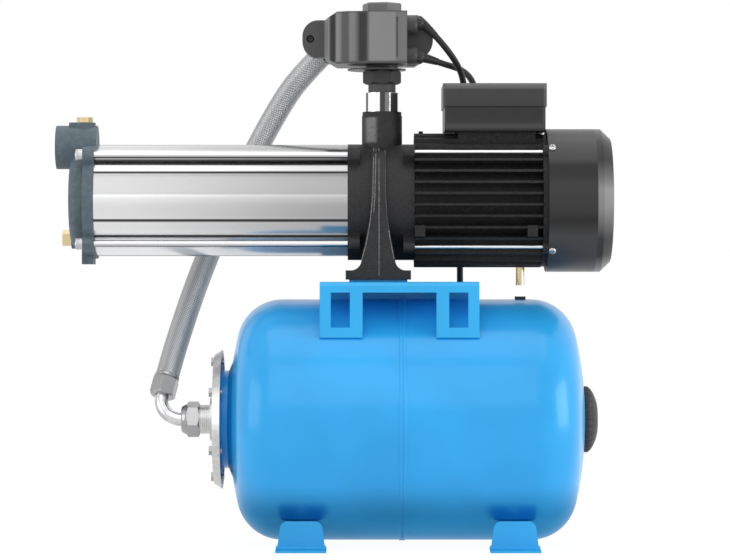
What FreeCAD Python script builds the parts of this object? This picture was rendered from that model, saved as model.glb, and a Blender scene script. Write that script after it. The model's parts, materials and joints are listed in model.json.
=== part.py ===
"""A booster pump station: a horizontal multistage pump with its motor on a pressure tank, with a
flow controller, a braided hose to the tank and a mains cord.

Frame: +Z is up, the floor is z = 0, +X runs from the suction port to the motor's fan, and the
origin is the middle of the four floor bolt holes. The tank's and the pump's axes lie in y = 0.
All sizes are in millimetres.
"""
import FreeCAD, Part
import math
import os
import re
import Sketcher

SIZES = {
    # Pressure tank
    "tank_x": (-0.5, "middle of the tank along X"),
    "tank_gap": (6.5, "floor to the tank's lowest line"),
    "tank_radius": (138, "outside radius of the tank"),
    "tank_half": (142.5, "half length of the tank's straight part"),
    "tank_knuckle": (52, "radius between the straight part and the crown"),
    "tank_crown": (430, "radius of the crown"),
    "tank_wall": (1.5, "sheet of the tank"),
    "seam_offset": (-5.6, "middle of the weld seam from the middle of the tank"),
    "seam_width": (8, "width of the seam's bead"),
    "seam_height": (0.9, "height of the seam's bead"),
    "neck_radius": (56, "outside radius of the neck"),
    "neck_foot": (68, "radius where the neck meets the crown"),
    "neck_wall": (3, "wall of the neck"),
    "neck_reach": (13.1, "crown's apex to the flange"),
    "membrane_wall": (2, "wall of the membrane"),
    "membrane_radius": (112, "radius of the filled membrane"),
    "membrane_reach": (120, "middle of the tank to the membrane's round end"),
    # Tank flange
    "flange_radius": (80, "outside radius of the flange"),
    "flange_thick": (3, "sheet of the flange"),
    "flange_dish": (6, "how far the flange's rim bends back"),
    "flange_hub": (25, "radius of the hub on the flange"),
    "hub_height": (5, "height of that hub"),
    "nipple_radius": (16.6, "outside radius of a G 1 male thread"),
    "nipple_bore": (12.5, "bore radius of the nipple"),
    "nipple_reach": (26, "flange's face to the nipple's end"),
    "flange_bolt_ring": (66, "radius of the ring of flange bolts"),
    "flange_bolt": (3, "shank radius of a flange bolt"),
    "flange_bolt_flats": (10, "width across flats of a flange bolt"),
    "flange_bolt_head": (4, "height of its head"),
    "flange_nut": (5, "height of its nut"),
    "flange_bolt_reach": (3, "how far the bolt stands out of its nut"),
    # Air valve
    "valve_radius": (5.5, "radius of the air valve's stem"),
    "valve_seat": (11, "radius of the valve's seat on the tank"),
    "valve_reach": (11, "apex of the tank to the stem's end"),
    "cap_radius": (38, "radius of the valve's cap"),
    "cap_depth": (15.5, "depth of that cap"),
    "cap_face": (16, "radius of the cap's flat face"),
    "cap_wall": (2.2, "wall of that cap"),
    "cap_gap": (0.6, "cap's rim to the tank"),
    "slide_fit": (0.05, "radial clearance of a piece that slides or turns in another"),
    # Feet
    "foot_pitch": (240, "distance between the feet along X"),
    "foot_face": (85, "outer face of a foot's plate from the middle plane"),
    "foot_sheet": (2.5, "sheet of the feet"),
    "foot_width": (57, "width of a foot's toe"),
    "foot_waist": (53, "width of a foot's plate just above its bend"),
    "foot_top": (48, "width of a foot's plate at its top"),
    "foot_corner": (9, "radius of a foot plate's upper corners"),
    "foot_bend": (5, "outer bend radius of a foot"),
    "toe_reach": (107, "end of a toe from the middle plane"),
    "floor_hole_radius": (4.5, "radius of a floor bolt hole"),
    "floor_hole_y": (96.5, "floor bolt hole from the middle plane"),
    # Platform
    "platform_left": (-99, "left end of the platform"),
    "platform_right": (79.5, "right end of the platform"),
    "platform_face": (102.5, "outer face of the platform's flanges from the middle plane"),
    "platform_sheet": (3, "sheet of the platform"),
    "platform_rise": (20, "tank's top to the platform's top"),
    "platform_bend": (5, "outer bend radius of the platform"),
    "platform_beam": (12, "height of the flange between the legs"),
    "leg_width": (48, "width of a platform leg"),
    "window_inset": (12.4, "platform's end to the window in its leg"),
    "window_width": (21.4, "width of the window in a leg"),
    "window_height": (39, "height of the window in a leg"),
    "seat_thick": (2.5, "raised seat under the pump's foot"),
    "seat_inset": (4, "pump foot's end to the seat's end"),
    "seat_face": (70, "seat's edge from the middle plane"),
    # Pump
    "shaft_rise": (91, "seat to the pump's axis"),
    "sleeve_radius": (64, "outside radius of the pump's sleeve"),
    "sleeve_wall": (1.5, "wall of the sleeve"),
    "sleeve_length": (287.6, "length of the sleeve"),
    "sleeve_end": (-68, "right end of the sleeve"),
    "spigot_length": (12, "how far a casing's spigot reaches into the sleeve"),
    "spigot_wall": (7, "wall of a spigot"),
    "seal_cord": (3, "thickness of an O-ring's cord"),
    "tie_ring": (71, "radius of the ring of tie rods"),
    "tie_radius": (4, "radius of a pump tie rod"),
    "tie_head": (6.5, "radius of a tie rod's head"),
    "tie_head_height": (7, "height of that head"),
    "tie_depth": (12, "how far a tie rod screws in"),
    "lug_radius": (9, "radius of the lugs round the tie rods"),
    "hole_clear": (0.3, "radial clearance of a bolt in its hole"),
    # Suction head
    "head_flange": (66.9, "radius of the head's flange"),
    "head_flange_thick": (12.6, "thickness of the head's flange"),
    "dome_radius": (55.7, "radius of the head's dome"),
    "dome_depth": (17, "depth of the dome"),
    "dome_round": (9, "rounding of the dome"),
    "head_wall": (6, "wall of the head"),
    "suction_rise": (61, "pump's axis to the suction port's axis"),
    "suction_radius": (25, "radius of the suction port's boss"),
    "suction_reach": (34.3, "head's flange to the suction port's face"),
    "port_thread": (15.2, "bore radius of a G 1 female thread"),
    "port_depth": (20, "depth of that thread in the suction port"),
    "port_passage": (13, "radius of the passage behind the thread"),
    "fill_rise": (89.3, "pump's axis to the top of the filling boss"),
    "fill_radius": (12.4, "radius of the filling boss"),
    "fill_place": (14.8, "head's face to the filling plug's axis"),
    "drain_drop": (43, "pump's axis down to the drain's axis"),
    "drain_radius": (12.5, "radius of the drain boss"),
    "plug_thread": (6.5, "thread radius of the filling and drain plugs"),
    "plug_flats": (16, "width across flats of those plugs"),
    "fill_head": (6.2, "height of the filling plug's head"),
    "drain_head": (10.5, "height of the drain plug's head"),
    "plug_depth": (9, "length of a plug's thread"),
    "head_foot_drop": (73.4, "pump's axis to the underside of the head's foot"),
    "head_foot_half": (19, "half width of the head's foot"),
    "head_foot_set": (4, "how far that foot stands left of the flange"),
    # Stages
    "diffuser_fit": (0.2, "radial clearance of a diffuser in the sleeve"),
    "diffuser_wall": (3, "wall of a diffuser"),
    "diffuser_eye": (21, "radius of a diffuser's eye"),
    "impeller_radius": (45, "radius of an impeller"),
    "impeller_eye": (19, "radius of an impeller's eye"),
    "impeller_width": (9, "width of an impeller's channel"),
    "shroud_thick": (2.5, "thickness of an impeller's shrouds"),
    "impeller_hub": (13, "radius of an impeller's hub"),
    "vane_thick": (2.5, "thickness of an impeller's vane"),
    "vane_sweep": (34, "radius of a vane's back"),
    "vane_count": (6, "vanes of an impeller"),
    "guide_count": (6, "guide vanes of a diffuser"),
    "impeller_place": (16, "stage's start to its impeller"),
    # Shaft and seal
    "shaft_radius": (8, "radius of the shaft"),
    "shaft_inset": (14, "sleeve's start to the shaft's left end"),
    "shaft_right": (188, "right end of the shaft"),
    "seat_radius": (14, "radius of the seal's fixed seat"),
    "seat_length": (9, "length of the fixed seat"),
    "ring_radius": (13, "radius of the seal's turning ring"),
    "ring_length": (17, "length of the turning ring"),
    "seal_gap": (0.15, "fixed seat to the turning ring"),
    # Discharge casing
    "casing_right": (8, "right face of the discharge casing"),
    "drum_radius": (64.5, "radius of the casing's drum"),
    "casing_wall": (9, "wall of the drum"),
    "sump_drop": (68.4, "pump's axis to the drum's lowest line"),
    "sump_half": (24, "half width of the drum's flat underside"),
    "left_lug_thick": (14, "thickness of the left lugs"),
    "right_lug_thick": (13, "thickness of the right lugs"),
    "web_place": (-22, "left face of the wall that holds the seal"),
    "web_thick": (12, "thickness of that wall"),
    "bearing_hub": (27, "radius of the bearing's hub"),
    "leg_x": (-33.3, "middle of the casing's leg"),
    "leg_foot": (36.8, "half length of the casing's foot"),
    "leg_flare": (19, "half width of the leg above its flare"),
    "leg_waist": (8.3, "half width of the leg beside the axis"),
    "leg_crest": (7.2, "half width of the rib's top"),
    "leg_face": (72, "face of the leg's rib from the middle plane"),
    "foot_half": (75, "half depth of the casing's foot"),
    "foot_thick": (10.5, "thickness of the casing's foot"),
    "arch_half": (44, "half width of the arch between the feet"),
    "flare_radius": (12, "radius between the foot and the leg"),
    "port_x": (-28.8, "discharge port's axis"),
    "port_radius": (23.1, "radius of the discharge port's boss"),
    "port_rise": (97, "pump's axis to the top of that boss"),
    "port_rim": (22.4, "radius of the boss's rim"),
    "port_rim_height": (4.5, "height of the rim"),
    "pump_bolt": (4, "shank radius of the bolts under the pump's foot"),
    "pump_bolt_pitch": (54, "distance between those bolts along X"),
    "pump_bolt_y": (60, "those bolts from the middle plane"),
    "pump_bolt_flats": (13, "width across flats of those bolts"),
    "pump_bolt_head": (5.5, "height of their heads"),
    "pump_bolt_depth": (8, "how far they screw into the foot"),
    # Motor
    "motor_length": (145, "length of the finned housing"),
    "motor_radius": (77, "radius over the fins"),
    "motor_core": (62, "outside radius of the housing's wall"),
    "stator_radius": (55.5, "bore radius of the housing"),
    "fin_pitch": (12.8, "distance between the fins"),
    "fin_thick": (3, "thickness of a fin"),
    "bump_x": (13.3, "left side of the small lug on top of the housing"),
    "bump_size": (5, "length and width of that lug"),
    "bump_rise": (79.5, "pump's axis to the top of that lug"),
    "motor_tie_ring": (76, "radius of the ring of motor tie rods"),
    "motor_tie": (2.2, "radius of a motor tie rod"),
    "motor_lug": (7.5, "radius of the lugs round the motor tie rods"),
    "air_gap": (0.6, "rotor to stator"),
    "rotor_radius": (38, "radius of the rotor"),
    "rotor_length": (80, "length of the rotor and the stator's core"),
    "winding_reach": (15, "how far the windings stand out of the core"),
    "bearing_radius": (20, "outside radius of a bearing"),
    "bearing_width": (12, "width of a bearing"),
    "shield_thick": (6, "thickness of the end shield"),
    "shield_radius": (76, "radius of the end shield"),
    "fan_radius": (70, "radius of the cooling fan"),
    "fan_place": (14, "end shield to the fan's disc"),
    "fan_width": (20, "width of the fan's blades"),
    "fan_blades": (8, "blades of the fan"),
    "cover_radius": (82, "radius of the fan cover"),
    "cover_sheet": (1.5, "sheet of the fan cover"),
    "cover_straight": (62, "length of the cover's straight part"),
    "cover_length": (76, "length of the fan cover"),
    "cover_crown": (71, "radius where the cover's end begins"),
    "cover_bulge": (2.5, "bulge of the cover's end"),
    "grille_slot": (4, "width of a slot in the cover's end"),
    "grille_pitch": (9, "distance between the slots"),
    "screw_radius": (4.5, "radius of a cover screw's head"),
    "screw_height": (2.6, "height of a cover screw's head"),
    "screw_place": (4.5, "cover's rim to its screws"),
    "stud_x": (130, "support stud's axis"),
    "stud_radius": (5, "radius of the support stud"),
    "stud_drop": (97.4, "pump's axis to the stud's end"),
    "pad_width": (12, "width of the pad on the tank"),
    "pad_height": (3.2, "height of the pad on the tank"),
    # Terminal box
    "box_left": (40.5, "left end of the terminal box"),
    "box_right": (158, "right end of the terminal box"),
    "box_half": (50, "half depth of the terminal box"),
    "box_rise": (77.5, "pump's axis to the box's floor"),
    "box_height": (28, "height of the box below its lid"),
    "box_inset": (1.5, "how far the box stands back from its lid"),
    "box_wall": (3, "wall of the box"),
    "box_round": (7, "rounding of the box's lower edge"),
    "lid_height": (26.5, "height of the lid"),
    "lid_bevel": (3.3, "bevel of the lid"),
    "saddle_left": (57.5, "left end of the box's saddle on the motor"),
    "saddle_right": (146, "right end of the saddle"),
    "saddle_half": (34, "half depth of the saddle"),
    "capacitor_radius": (17, "radius of the run capacitor"),
    "capacitor_length": (78, "length of the run capacitor"),
    # Flow controller, measured from the pump's axis up
    "adapter_radius": (18.6, "radius of the chrome adapter"),
    "adapter_height": (22, "height of the chrome adapter's body"),
    "adapter_thread": (15.15, "radius of the adapter's threads"),
    "adapter_depth": (14, "length of a thread of the adapter"),
    "inlet_radius": (15.8, "radius of the controller's inlet"),
    "inlet_bore": (11, "bore radius of the controller's inlet"),
    "union_flats": (38, "width across flats of the black union nut"),
    "union_low": (133.3, "underside of the union nut"),
    "union_height": (16, "height of the union nut"),
    "disc_radius": (33.5, "radius of the disc under the controller"),
    "disc_thick": (1.5, "thickness of that disc"),
    "disc_x": (-6, "disc's middle from the port's axis"),
    "control_low": (155, "underside of the controller"),
    "control_high": (214.5, "top of the controller"),
    "control_left": (-65.5, "left end of the controller's body from the port's axis"),
    "control_right": (28.5, "right end of the controller's front"),
    "control_front": (46, "front face of the controller from the middle plane"),
    "control_split": (16, "joint between the controller's body and its cover"),
    "control_back": (50, "back face of the controller"),
    "ear_radius": (21, "radius of the controller's right ear"),
    "ear_corner": (18.3, "corner radius of its left ear"),
    "ear_half": (21.5, "half height of its left ear"),
    "ear_left": (-73.1, "left ear's corner arcs from the port's axis"),
    "ear_right": (38, "right ear's middle from the port's axis"),
    "ear_rise": (185.5, "pump's axis to the middle of the ears"),
    "ear_thick": (20, "thickness of an ear"),
    "chamber_radius": (13, "bore radius of the controller's flow chamber"),
    "outlet_flats": (40, "width across flats of the outlet's cap"),
    "outlet_height": (12, "height of the outlet's cap"),
    "outlet_plug": (11, "length of that cap's plug"),
    "poppet_radius": (12.4, "radius of the flow poppet"),
    "poppet_place": (166, "pump's axis to the poppet at rest"),
    "poppet_stem": (3, "radius of the poppet's stem"),
    "button_radius": (6, "radius of the restart button"),
    "button_reach": (3, "how far the button stands out"),
    "button_x": (6, "button's axis from the port's axis"),
    "button_rise": (184.5, "pump's axis to the button's axis"),
    "cover_wall": (2.5, "wall of the controller's cover"),
    "cover_reach": (18, "front's right end to the cover's right end"),
    "cover_slope": (9, "length of the cover's cut corners"),
    "slit_x": (16, "slit in the controller's front from the port's axis"),
    "slit_width": (1.8, "width of that slit"),
    "slit_inset": (7, "controller's underside to the slit's lower end"),
    "gland_radius": (7.4, "radius of a cable gland"),
    "gland_length": (17, "length of a cable gland"),
    "upper_gland": (204.5, "pump's axis to the upper gland"),
    "lower_gland": (165, "pump's axis to the lower gland"),
    "gland_y": (2, "glands from the middle plane"),
    "cable_radius": (3.7, "radius of the mains cord and the motor lead"),
    "box_gland_x": (84, "motor lead's gland in the terminal box"),
    "box_gland_rise": (88.5, "pump's axis to that gland"),
    # Hose
    "elbow_radius": (7.8, "outside radius of the bent elbow"),
    "elbow_bore": (5.5, "bore radius of the elbow"),
    "elbow_bend": (24, "bend radius of the elbow"),
    "elbow_turn": (102, "degrees that the elbow turns"),
    "elbow_lean": (25, "degrees that the elbow leans back"),
    "elbow_collar": (14, "radius of the elbow's collar in its nut"),
    "tank_nut_place": (17, "tank's flange face to the nut on its nipple"),
    "tank_nut_length": (16, "length of that nut"),
    "tank_nut_flats": (37, "width across flats of that nut"),
    "tank_nut_cone": (5, "length of the nut's cone"),
    "hose_radius": (14, "outside radius of the braided hose"),
    "hose_bore": (10, "bore radius of the hose"),
    "hose_nut_flats": (27, "width across flats of a hose nut"),
    "hose_nut_length": (22, "length of a hose nut"),
    "hose_straight": (40, "straight stretch of the hose in its sleeve at the tank"),
    "elbow_port_x": (-45.2, "tank port's axis from the discharge port's axis"),
    "elbow_port_y": (66, "tank port's stub from the middle plane"),
    "elbow_port_rise": (197, "pump's axis to the tank port's axis"),
    "elbow_port_radius": (14, "radius of the tank port"),
    "elbow_port_reach": (16, "tank port's axis to its stub's end"),
    # Put-away cord
    "coil_x": (-7, "middle of the coil along X"),
    "coil_back": (64, "tank's back to the middle of the coil"),
    "coil_radius": (40.7, "radius at the middle of the coil's turns"),
    "plug_body": (19, "radius of the mains plug"),
    "plug_length": (34, "length of the plug's body"),
    "plug_relief": (24, "length of the plug's strain relief"),
    "pin_radius": (2.4, "radius of a plug's pin"),
    "pin_length": (19, "length of a plug's pin"),
    "pin_pitch": (19, "distance between the pins"),
}

# Routes chosen by hand. Points beside the pump have their height above its axis. Points beside the
# tank have their depth behind the tank's back, and their height above its axis. Points on the floor
# have their depth behind the tank's back too.
HOSE_MIDDLE = [(-239, 79, -74), (-192, 90, 34), (-143, 82, 124)]
LEAD_MIDDLE = [
    (31, 8, 161.5), (43, 22, 158.5), (54, 38, 156.5), (65, 54, 153.5), (74, 68, 147.5), (80, 81, 138),
    (83.5, 93, 123.5), (84, 97, 107), (84, 90, 95), (84, 78.5, 89.2),
]
CORD_HIGH = [
    (30, 2.5, 192.5), (42, 7, 179.5), (53, 15, 166), (61, 28, 154), (66, 46, 142), (68.5, 64, 123),
    (69, 79, 92), (68, 88, 52), (66, 94, 7), (64, 98, -38), (64, 104, -82),
]
CORD_BACK = [
    (65, -21, 125.5), (68, -4, 83.5), (70, 8, 39.5), (71, 12.5, -4.5), (71, 13, -48.5), (69.5, 14, -86.5),
]
CORD_LOW = [(62, 17, 29), (44, 19.2, 10), (22, 19.6, 3.7), (4, 19.8, 3.7)]
TAIL_ROUTE = [(12, 108.4, 11.1), (32, 109, 11.1), (52, 113, 17), (72, 114, 19)]

doc = FreeCAD.newDocument("BoosterStation")
sheet = doc.addObject("Spreadsheet::Sheet", "Sizes")
for row, (name, (size, meaning)) in enumerate(SIZES.items(), start=1):
    sheet.set(f"A{row}", meaning)
    sheet.set(f"B{row}", str(size))
    sheet.setAlias(f"B{row}", name)
doc.recompute()

WORD = re.compile(r"[A-Za-z_]\w*")
Vector = FreeCAD.Vector
PARTS = []


def bound(formula):
    """The formula with each size's name led to its cell in the sheet."""
    return WORD.sub(lambda w: f"Sizes.{w.group()}" if w.group() in SIZES else w.group(), str(formula))


def number(formula):
    """What the formula comes to with the sheet's present sizes."""
    return float(sheet.evalExpression(bound(formula)))


def bind(thing, path, formula):
    """Tie one property of an object to a formula of the sheet's sizes."""
    thing.setExpression(path, bound(formula))


def plus(*terms):
    return "(" + " + ".join(f"({term})" for term in terms) + ")"


def minus(term):
    return f"(0 - ({term}))"


# Heights and places that several pieces share
TANK_Z = "tank_gap + tank_radius"
PLATFORM_TOP = "tank_gap + 2 * tank_radius + platform_rise"
PUMP_Z = "tank_gap + 2 * tank_radius + platform_rise + seat_thick + shaft_rise"
SLEEVE_START = "sleeve_end - sleeve_length"
HEAD_LEFT = "sleeve_end - sleeve_length - head_flange_thick"
STAGE_PITCH = "(sleeve_length - 2 * spigot_length) / 4"
SHAFT_LEFT = "sleeve_end - sleeve_length + shaft_inset"
SLEEVE_BORE = "sleeve_radius - sleeve_wall"
SPIGOT = "sleeve_radius - sleeve_wall - slide_fit"
CROWN_X = "tank_half - sqrt((tank_crown - tank_knuckle)^2 - (tank_radius - tank_knuckle)^2)"
TANK_APEX = plus(CROWN_X, "tank_crown")
FLANGE_BACK = plus(TANK_APEX, "neck_reach")
FLANGE_FACE = plus(FLANGE_BACK, "flange_thick")
MOTOR_END = "casing_right + motor_length"
SHIELD_END = "casing_right + motor_length + shield_thick"


class Piece:
    """One solid part: a body in its own frame, made of sketches and features."""

    def __init__(self, label, at=(0, 0, 0), axis=(0, 0, 1), angle=0):
        self.body = doc.addObject("PartDesign::Body", label)
        self.body.Label = label
        self.body.AllowCompound = True
        self.body.Placement = FreeCAD.Placement(
            Vector(*[number(place) for place in at]), FreeCAD.Rotation(Vector(*axis), number(angle)))
        for letter, place in zip("xyz", at):
            bind(self.body, f"Placement.Base.{letter}", place)
        if number(angle):
            bind(self.body, "Placement.Rotation.Angle", angle)
        PARTS.append(self.body)

    def origin(self, role):
        return next(f for f in self.body.Origin.OriginFeatures if f.Role == role)

    def sketch(self, plane, loops, lift="0"):
        """A sketch of closed loops on one of the body's planes, lifted along its normal.

        A loop is a list of corners (x, y), or (x, y, radius, turn) where the side to that corner
        is an arc that turns left (1) or right (-1), or ("circle", x, y, radius).
        """
        sketch = self.body.newObject("Sketcher::SketchObject", f"{self.body.Name}_Sketch")
        sketch.AttachmentSupport = (self.origin(plane), [""])
        sketch.MapMode = "FlatFace"
        bind(sketch, "AttachmentOffset.Base.z", lift)
        for loop in loops:
            if loop[0] == "circle":
                draw_circle(sketch, *loop[1:])
            else:
                draw_loop(sketch, loop)
        return sketch

    def add(self, kind, **settings):
        """A feature of this kind, made the body's last, with its volume checked for a change."""
        before = self.volume()
        feature = self.body.newObject(f"PartDesign::{kind}", f"{self.body.Name}_{kind}")
        for key, value in settings.items():
            if isinstance(value, str) and key in ("Length", "Angle", "Radius", "Size", "Occurrences"):
                bind(feature, key, value)
            else:
                setattr(feature, key, value)
        self.body.Tip = feature
        doc.recompute()
        if abs(self.volume() - before) < 1e-6:
            raise RuntimeError(f"{feature.Name} changes nothing")
        return feature

    def volume(self):
        return self.body.Shape.Volume if self.body.Tip and not self.body.Shape.isNull() else 0.0

    def turned(self, corners, about="X", cut=False):
        """Turn a loop about the body's own axis; its corners are (along, out), or (out, along) for Z."""
        line = "V_Axis" if about == "Z" else "H_Axis"
        sketch = self.sketch("XZ_Plane", [corners])
        kind = "Groove" if cut else "Revolution"
        return self.add(kind, Profile=sketch, ReferenceAxis=(sketch, [line]), Angle=360)

    def pad(self, plane, loops, low, high):
        """Fill the loops from low to high along the axis that the plane leaves out."""
        flip = plane == "XZ_Plane"
        sketch = self.sketch(plane, loops, minus(low) if flip else low)
        return self.add("Pad", Profile=sketch, Reversed=flip, Length=f"({high}) - ({low})")

    def cut(self, plane, loops, low, high):
        """Take the loops out from low to high along the axis that the plane leaves out."""
        flip = plane == "XZ_Plane"
        sketch = self.sketch(plane, loops, minus(low) if flip else high)
        return self.add("Pocket", Profile=sketch, Length=f"({high}) - ({low})")

    def repeat(self, features, axis, count):
        """Repeat features evenly round one of the body's axes."""
        return self.add("PolarPattern", Originals=features, Axis=(self.origin(f"{axis}_Axis"), [""]),
                        Angle=360, Occurrences=count)

    def row(self, features, axis, length, count):
        """Repeat features evenly along one of the body's axes."""
        return self.add("LinearPattern", Originals=features, Direction=(self.origin(f"{axis}_Axis"), [""]),
                        Length=length, Occurrences=count)

    def rounded(self, radius, chosen, kind="Fillet"):
        """Round or bevel the edges that the test chooses."""
        feature = self.body.Tip
        names = [f"Edge{i}" for i, edge in enumerate(feature.Shape.Edges, start=1) if chosen(edge)]
        sizes = {"Radius": radius} if kind == "Fillet" else {"Size": radius}
        return self.add(kind, Base=(feature, names), **sizes)


def hold(sketch, geometry, point, x, y):
    """Fix one point of a sketch at formulas of the sheet's sizes."""
    for kind, formula in (("DistanceX", x), ("DistanceY", y)):
        index = sketch.addConstraint(Sketcher.Constraint(kind, -1, 1, geometry, point, number(formula)))
        if WORD.search(str(formula)):
            bind(sketch, f"Constraints[{index}]", formula)


def draw_circle(sketch, x, y, radius):
    circle = Part.Circle(Vector(number(x), number(y), 0), Vector(0, 0, 1), number(radius))
    geometry = sketch.addGeometry(circle)
    hold(sketch, geometry, 3, x, y)
    index = sketch.addConstraint(Sketcher.Constraint("Radius", geometry, number(radius)))
    bind(sketch, f"Constraints[{index}]", radius)


def arc_between(start, end, radius, turn):
    """The short arc from start to end that turns left (1) or right (-1)."""
    across = end - start
    middle = (start + end) * 0.5
    height = math.sqrt(max(radius ** 2 - (across.Length / 2) ** 2, 0))
    left = Vector(-across.y, across.x, 0).normalize()
    centre = middle + left * height * turn
    first, last = (start, end) if turn > 0 else (end, start)
    begin = math.atan2(first.y - centre.y, first.x - centre.x)
    finish = math.atan2(last.y - centre.y, last.x - centre.x)
    return Part.ArcOfCircle(Part.Circle(centre, Vector(0, 0, 1), radius), begin, finish)


def draw_loop(sketch, corners):
    places = [Vector(number(corner[0]), number(corner[1]), 0) for corner in corners]
    ends = []
    for i, corner in enumerate(corners):
        start, end = places[i - 1], places[i]
        if len(corner) == 2:
            geometry = sketch.addGeometry(Part.LineSegment(start, end))
            ends.append((geometry, 1, 2))
        else:
            radius, turn = corner[2:]
            geometry = sketch.addGeometry(arc_between(start, end, number(radius), turn))
            ends.append((geometry, 1, 2) if turn > 0 else (geometry, 2, 1))
    for i, (geometry, first, last) in enumerate(ends):
        following = ends[(i + 1) % len(ends)]
        sketch.addConstraint(Sketcher.Constraint("Coincident", geometry, last, following[0], following[1]))
        hold(sketch, geometry, last, corners[i][0], corners[i][1])
        if len(corners[i]) > 2:
            radius = corners[i][2]
            index = sketch.addConstraint(Sketcher.Constraint("Radius", geometry, number(radius)))
            if WORD.search(str(radius)):
                bind(sketch, f"Constraints[{index}]", radius)


def rectangle(left, right, low, high):
    return [(left, low), (right, low), (right, high), (left, high)]


def hexagon(x, y, flats, lead=0):
    """A hexagon of this width across flats, its first corner at the given angle."""
    corner = f"({flats}) / sqrt(3)"
    return [(plus(x, f"{corner} * cos({lead + 60 * k})"), plus(y, f"{corner} * sin({lead + 60 * k})"))
            for k in range(6)]


def tube_section(left, right, inner, outer):
    return [(left, inner), (right, inner), (right, outer), (left, outer)]


# The tank's shell halves, their seam and what they hold


def shell_half(label, side):
    """One pressed half of the tank from the seam to its crown, with a hole in the crown."""
    lean = "(tank_radius - tank_knuckle) / (tank_crown - tank_knuckle)"
    run = f"sqrt(1 - ({lean})^2)"
    hole = "(neck_radius - neck_wall)" if side < 0 else "valve_radius"

    def spot(along, out):
        return (f"{side} * ({along})", out)

    def on_crown(crown, out):
        return f"{CROWN_X} + sqrt(({crown})^2 - ({out})^2)"

    def joint(crown, knuckle):
        return spot(f"tank_half + ({knuckle}) * {run}", f"({crown}) * {lean}")

    inner_crown = "tank_crown - tank_wall"
    inner_knuckle = "tank_knuckle - tank_wall"
    inner = "tank_radius - tank_wall"
    piece = Piece(label, at=("tank_x", 0, TANK_Z))
    piece.turned([
        ("seam_offset", inner),
        ("seam_offset", "tank_radius"),
        spot("tank_half", "tank_radius"),
        (*joint("tank_crown", "tank_knuckle"), "tank_knuckle", -side),
        (*spot(on_crown("tank_crown", hole), hole), "tank_crown", -side),
        spot(on_crown(inner_crown, hole), hole),
        (*joint(inner_crown, inner_knuckle), inner_crown, side),
        (*spot("tank_half", inner), inner_knuckle, side),
    ])
    return piece


left_half = shell_half("tank_left_half", -1)
left_half.turned([
    ("seam_offset - seam_width / 2", "tank_radius"),
    ("seam_offset - seam_width / 2 + seam_height", "tank_radius + seam_height"),
    ("seam_offset - seam_height", "tank_radius + seam_height"),
    ("seam_offset", "tank_radius"),
])
right_half = shell_half("tank_right_half", 1)
right_half.turned([
    ("seam_offset", "tank_radius"),
    ("seam_offset + seam_height", "tank_radius + seam_height"),
    ("seam_offset + seam_width / 2 - seam_height", "tank_radius + seam_height"),
    ("seam_offset + seam_width / 2", "tank_radius"),
])

NECK_BORE = "neck_radius - neck_wall"


def crown_at(out):
    """Place of the crown's outside at this radius, from the tank's middle, on the left."""
    return minus(f"{CROWN_X} + sqrt(tank_crown^2 - ({out})^2)")


neck = Piece("tank_neck", at=("tank_x", 0, TANK_Z))
neck.turned([
    (crown_at("neck_foot"), "neck_foot", "tank_crown", -1),
    (plus(crown_at("neck_radius"), "0 - neck_wall"), "neck_radius"),
    (minus(FLANGE_BACK), "neck_radius"),
    (minus(FLANGE_BACK), NECK_BORE),
    (crown_at(NECK_BORE), NECK_BORE),
])

membrane = Piece("tank_membrane", at=("tank_x", 0, TANK_Z))
MEMBRANE_NECK = "neck_radius - neck_wall - 1"
MEMBRANE_INNER = "membrane_radius - membrane_wall"
membrane.turned([
    (minus(FLANGE_BACK), MEMBRANE_NECK),
    (minus("tank_half + tank_knuckle / 2"), MEMBRANE_NECK),
    (minus("tank_half / 2"), "membrane_radius"),
    ("membrane_reach - membrane_radius", "membrane_radius"),
    ("membrane_reach", "0", "membrane_radius", -1),
    ("membrane_reach - membrane_wall", "0"),
    ("membrane_reach - membrane_radius", MEMBRANE_INNER, MEMBRANE_INNER, 1),
    (minus("tank_half / 2"), MEMBRANE_INNER),
    (minus("tank_half + tank_knuckle / 2"), f"{MEMBRANE_NECK} - membrane_wall"),
    (minus(FLANGE_BACK), f"{MEMBRANE_NECK} - membrane_wall"),
])

flange = Piece("tank_flange", at=("tank_x", 0, TANK_Z))
FLANGE_RIM = "flange_radius - flange_dish"
flange.turned([
    (minus(FLANGE_BACK), "nipple_bore"),
    (minus(FLANGE_BACK), f"{FLANGE_RIM} - flange_thick"),
    (plus(minus(FLANGE_BACK), "flange_dish"), "flange_radius - flange_thick"),
    (plus(minus(FLANGE_BACK), "flange_dish"), "flange_radius"),
    (minus(FLANGE_FACE), FLANGE_RIM),
    (minus(FLANGE_FACE), "flange_hub"),
    (minus(plus(FLANGE_FACE, "hub_height")), "flange_hub"),
    (minus(plus(FLANGE_FACE, "hub_height")), "nipple_radius"),
    (minus(plus(FLANGE_FACE, "nipple_reach")), "nipple_radius"),
    (minus(plus(FLANGE_FACE, "nipple_reach")), "nipple_bore"),
])
bolt_hole = flange.cut(
    "YZ_Plane", [("circle", "0", "flange_bolt_ring", "flange_bolt + hole_clear")],
    minus(plus(FLANGE_FACE, 1)), minus(f"{FLANGE_BACK} - 1"))
flange.repeat([bolt_hole], "X", 6)

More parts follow.
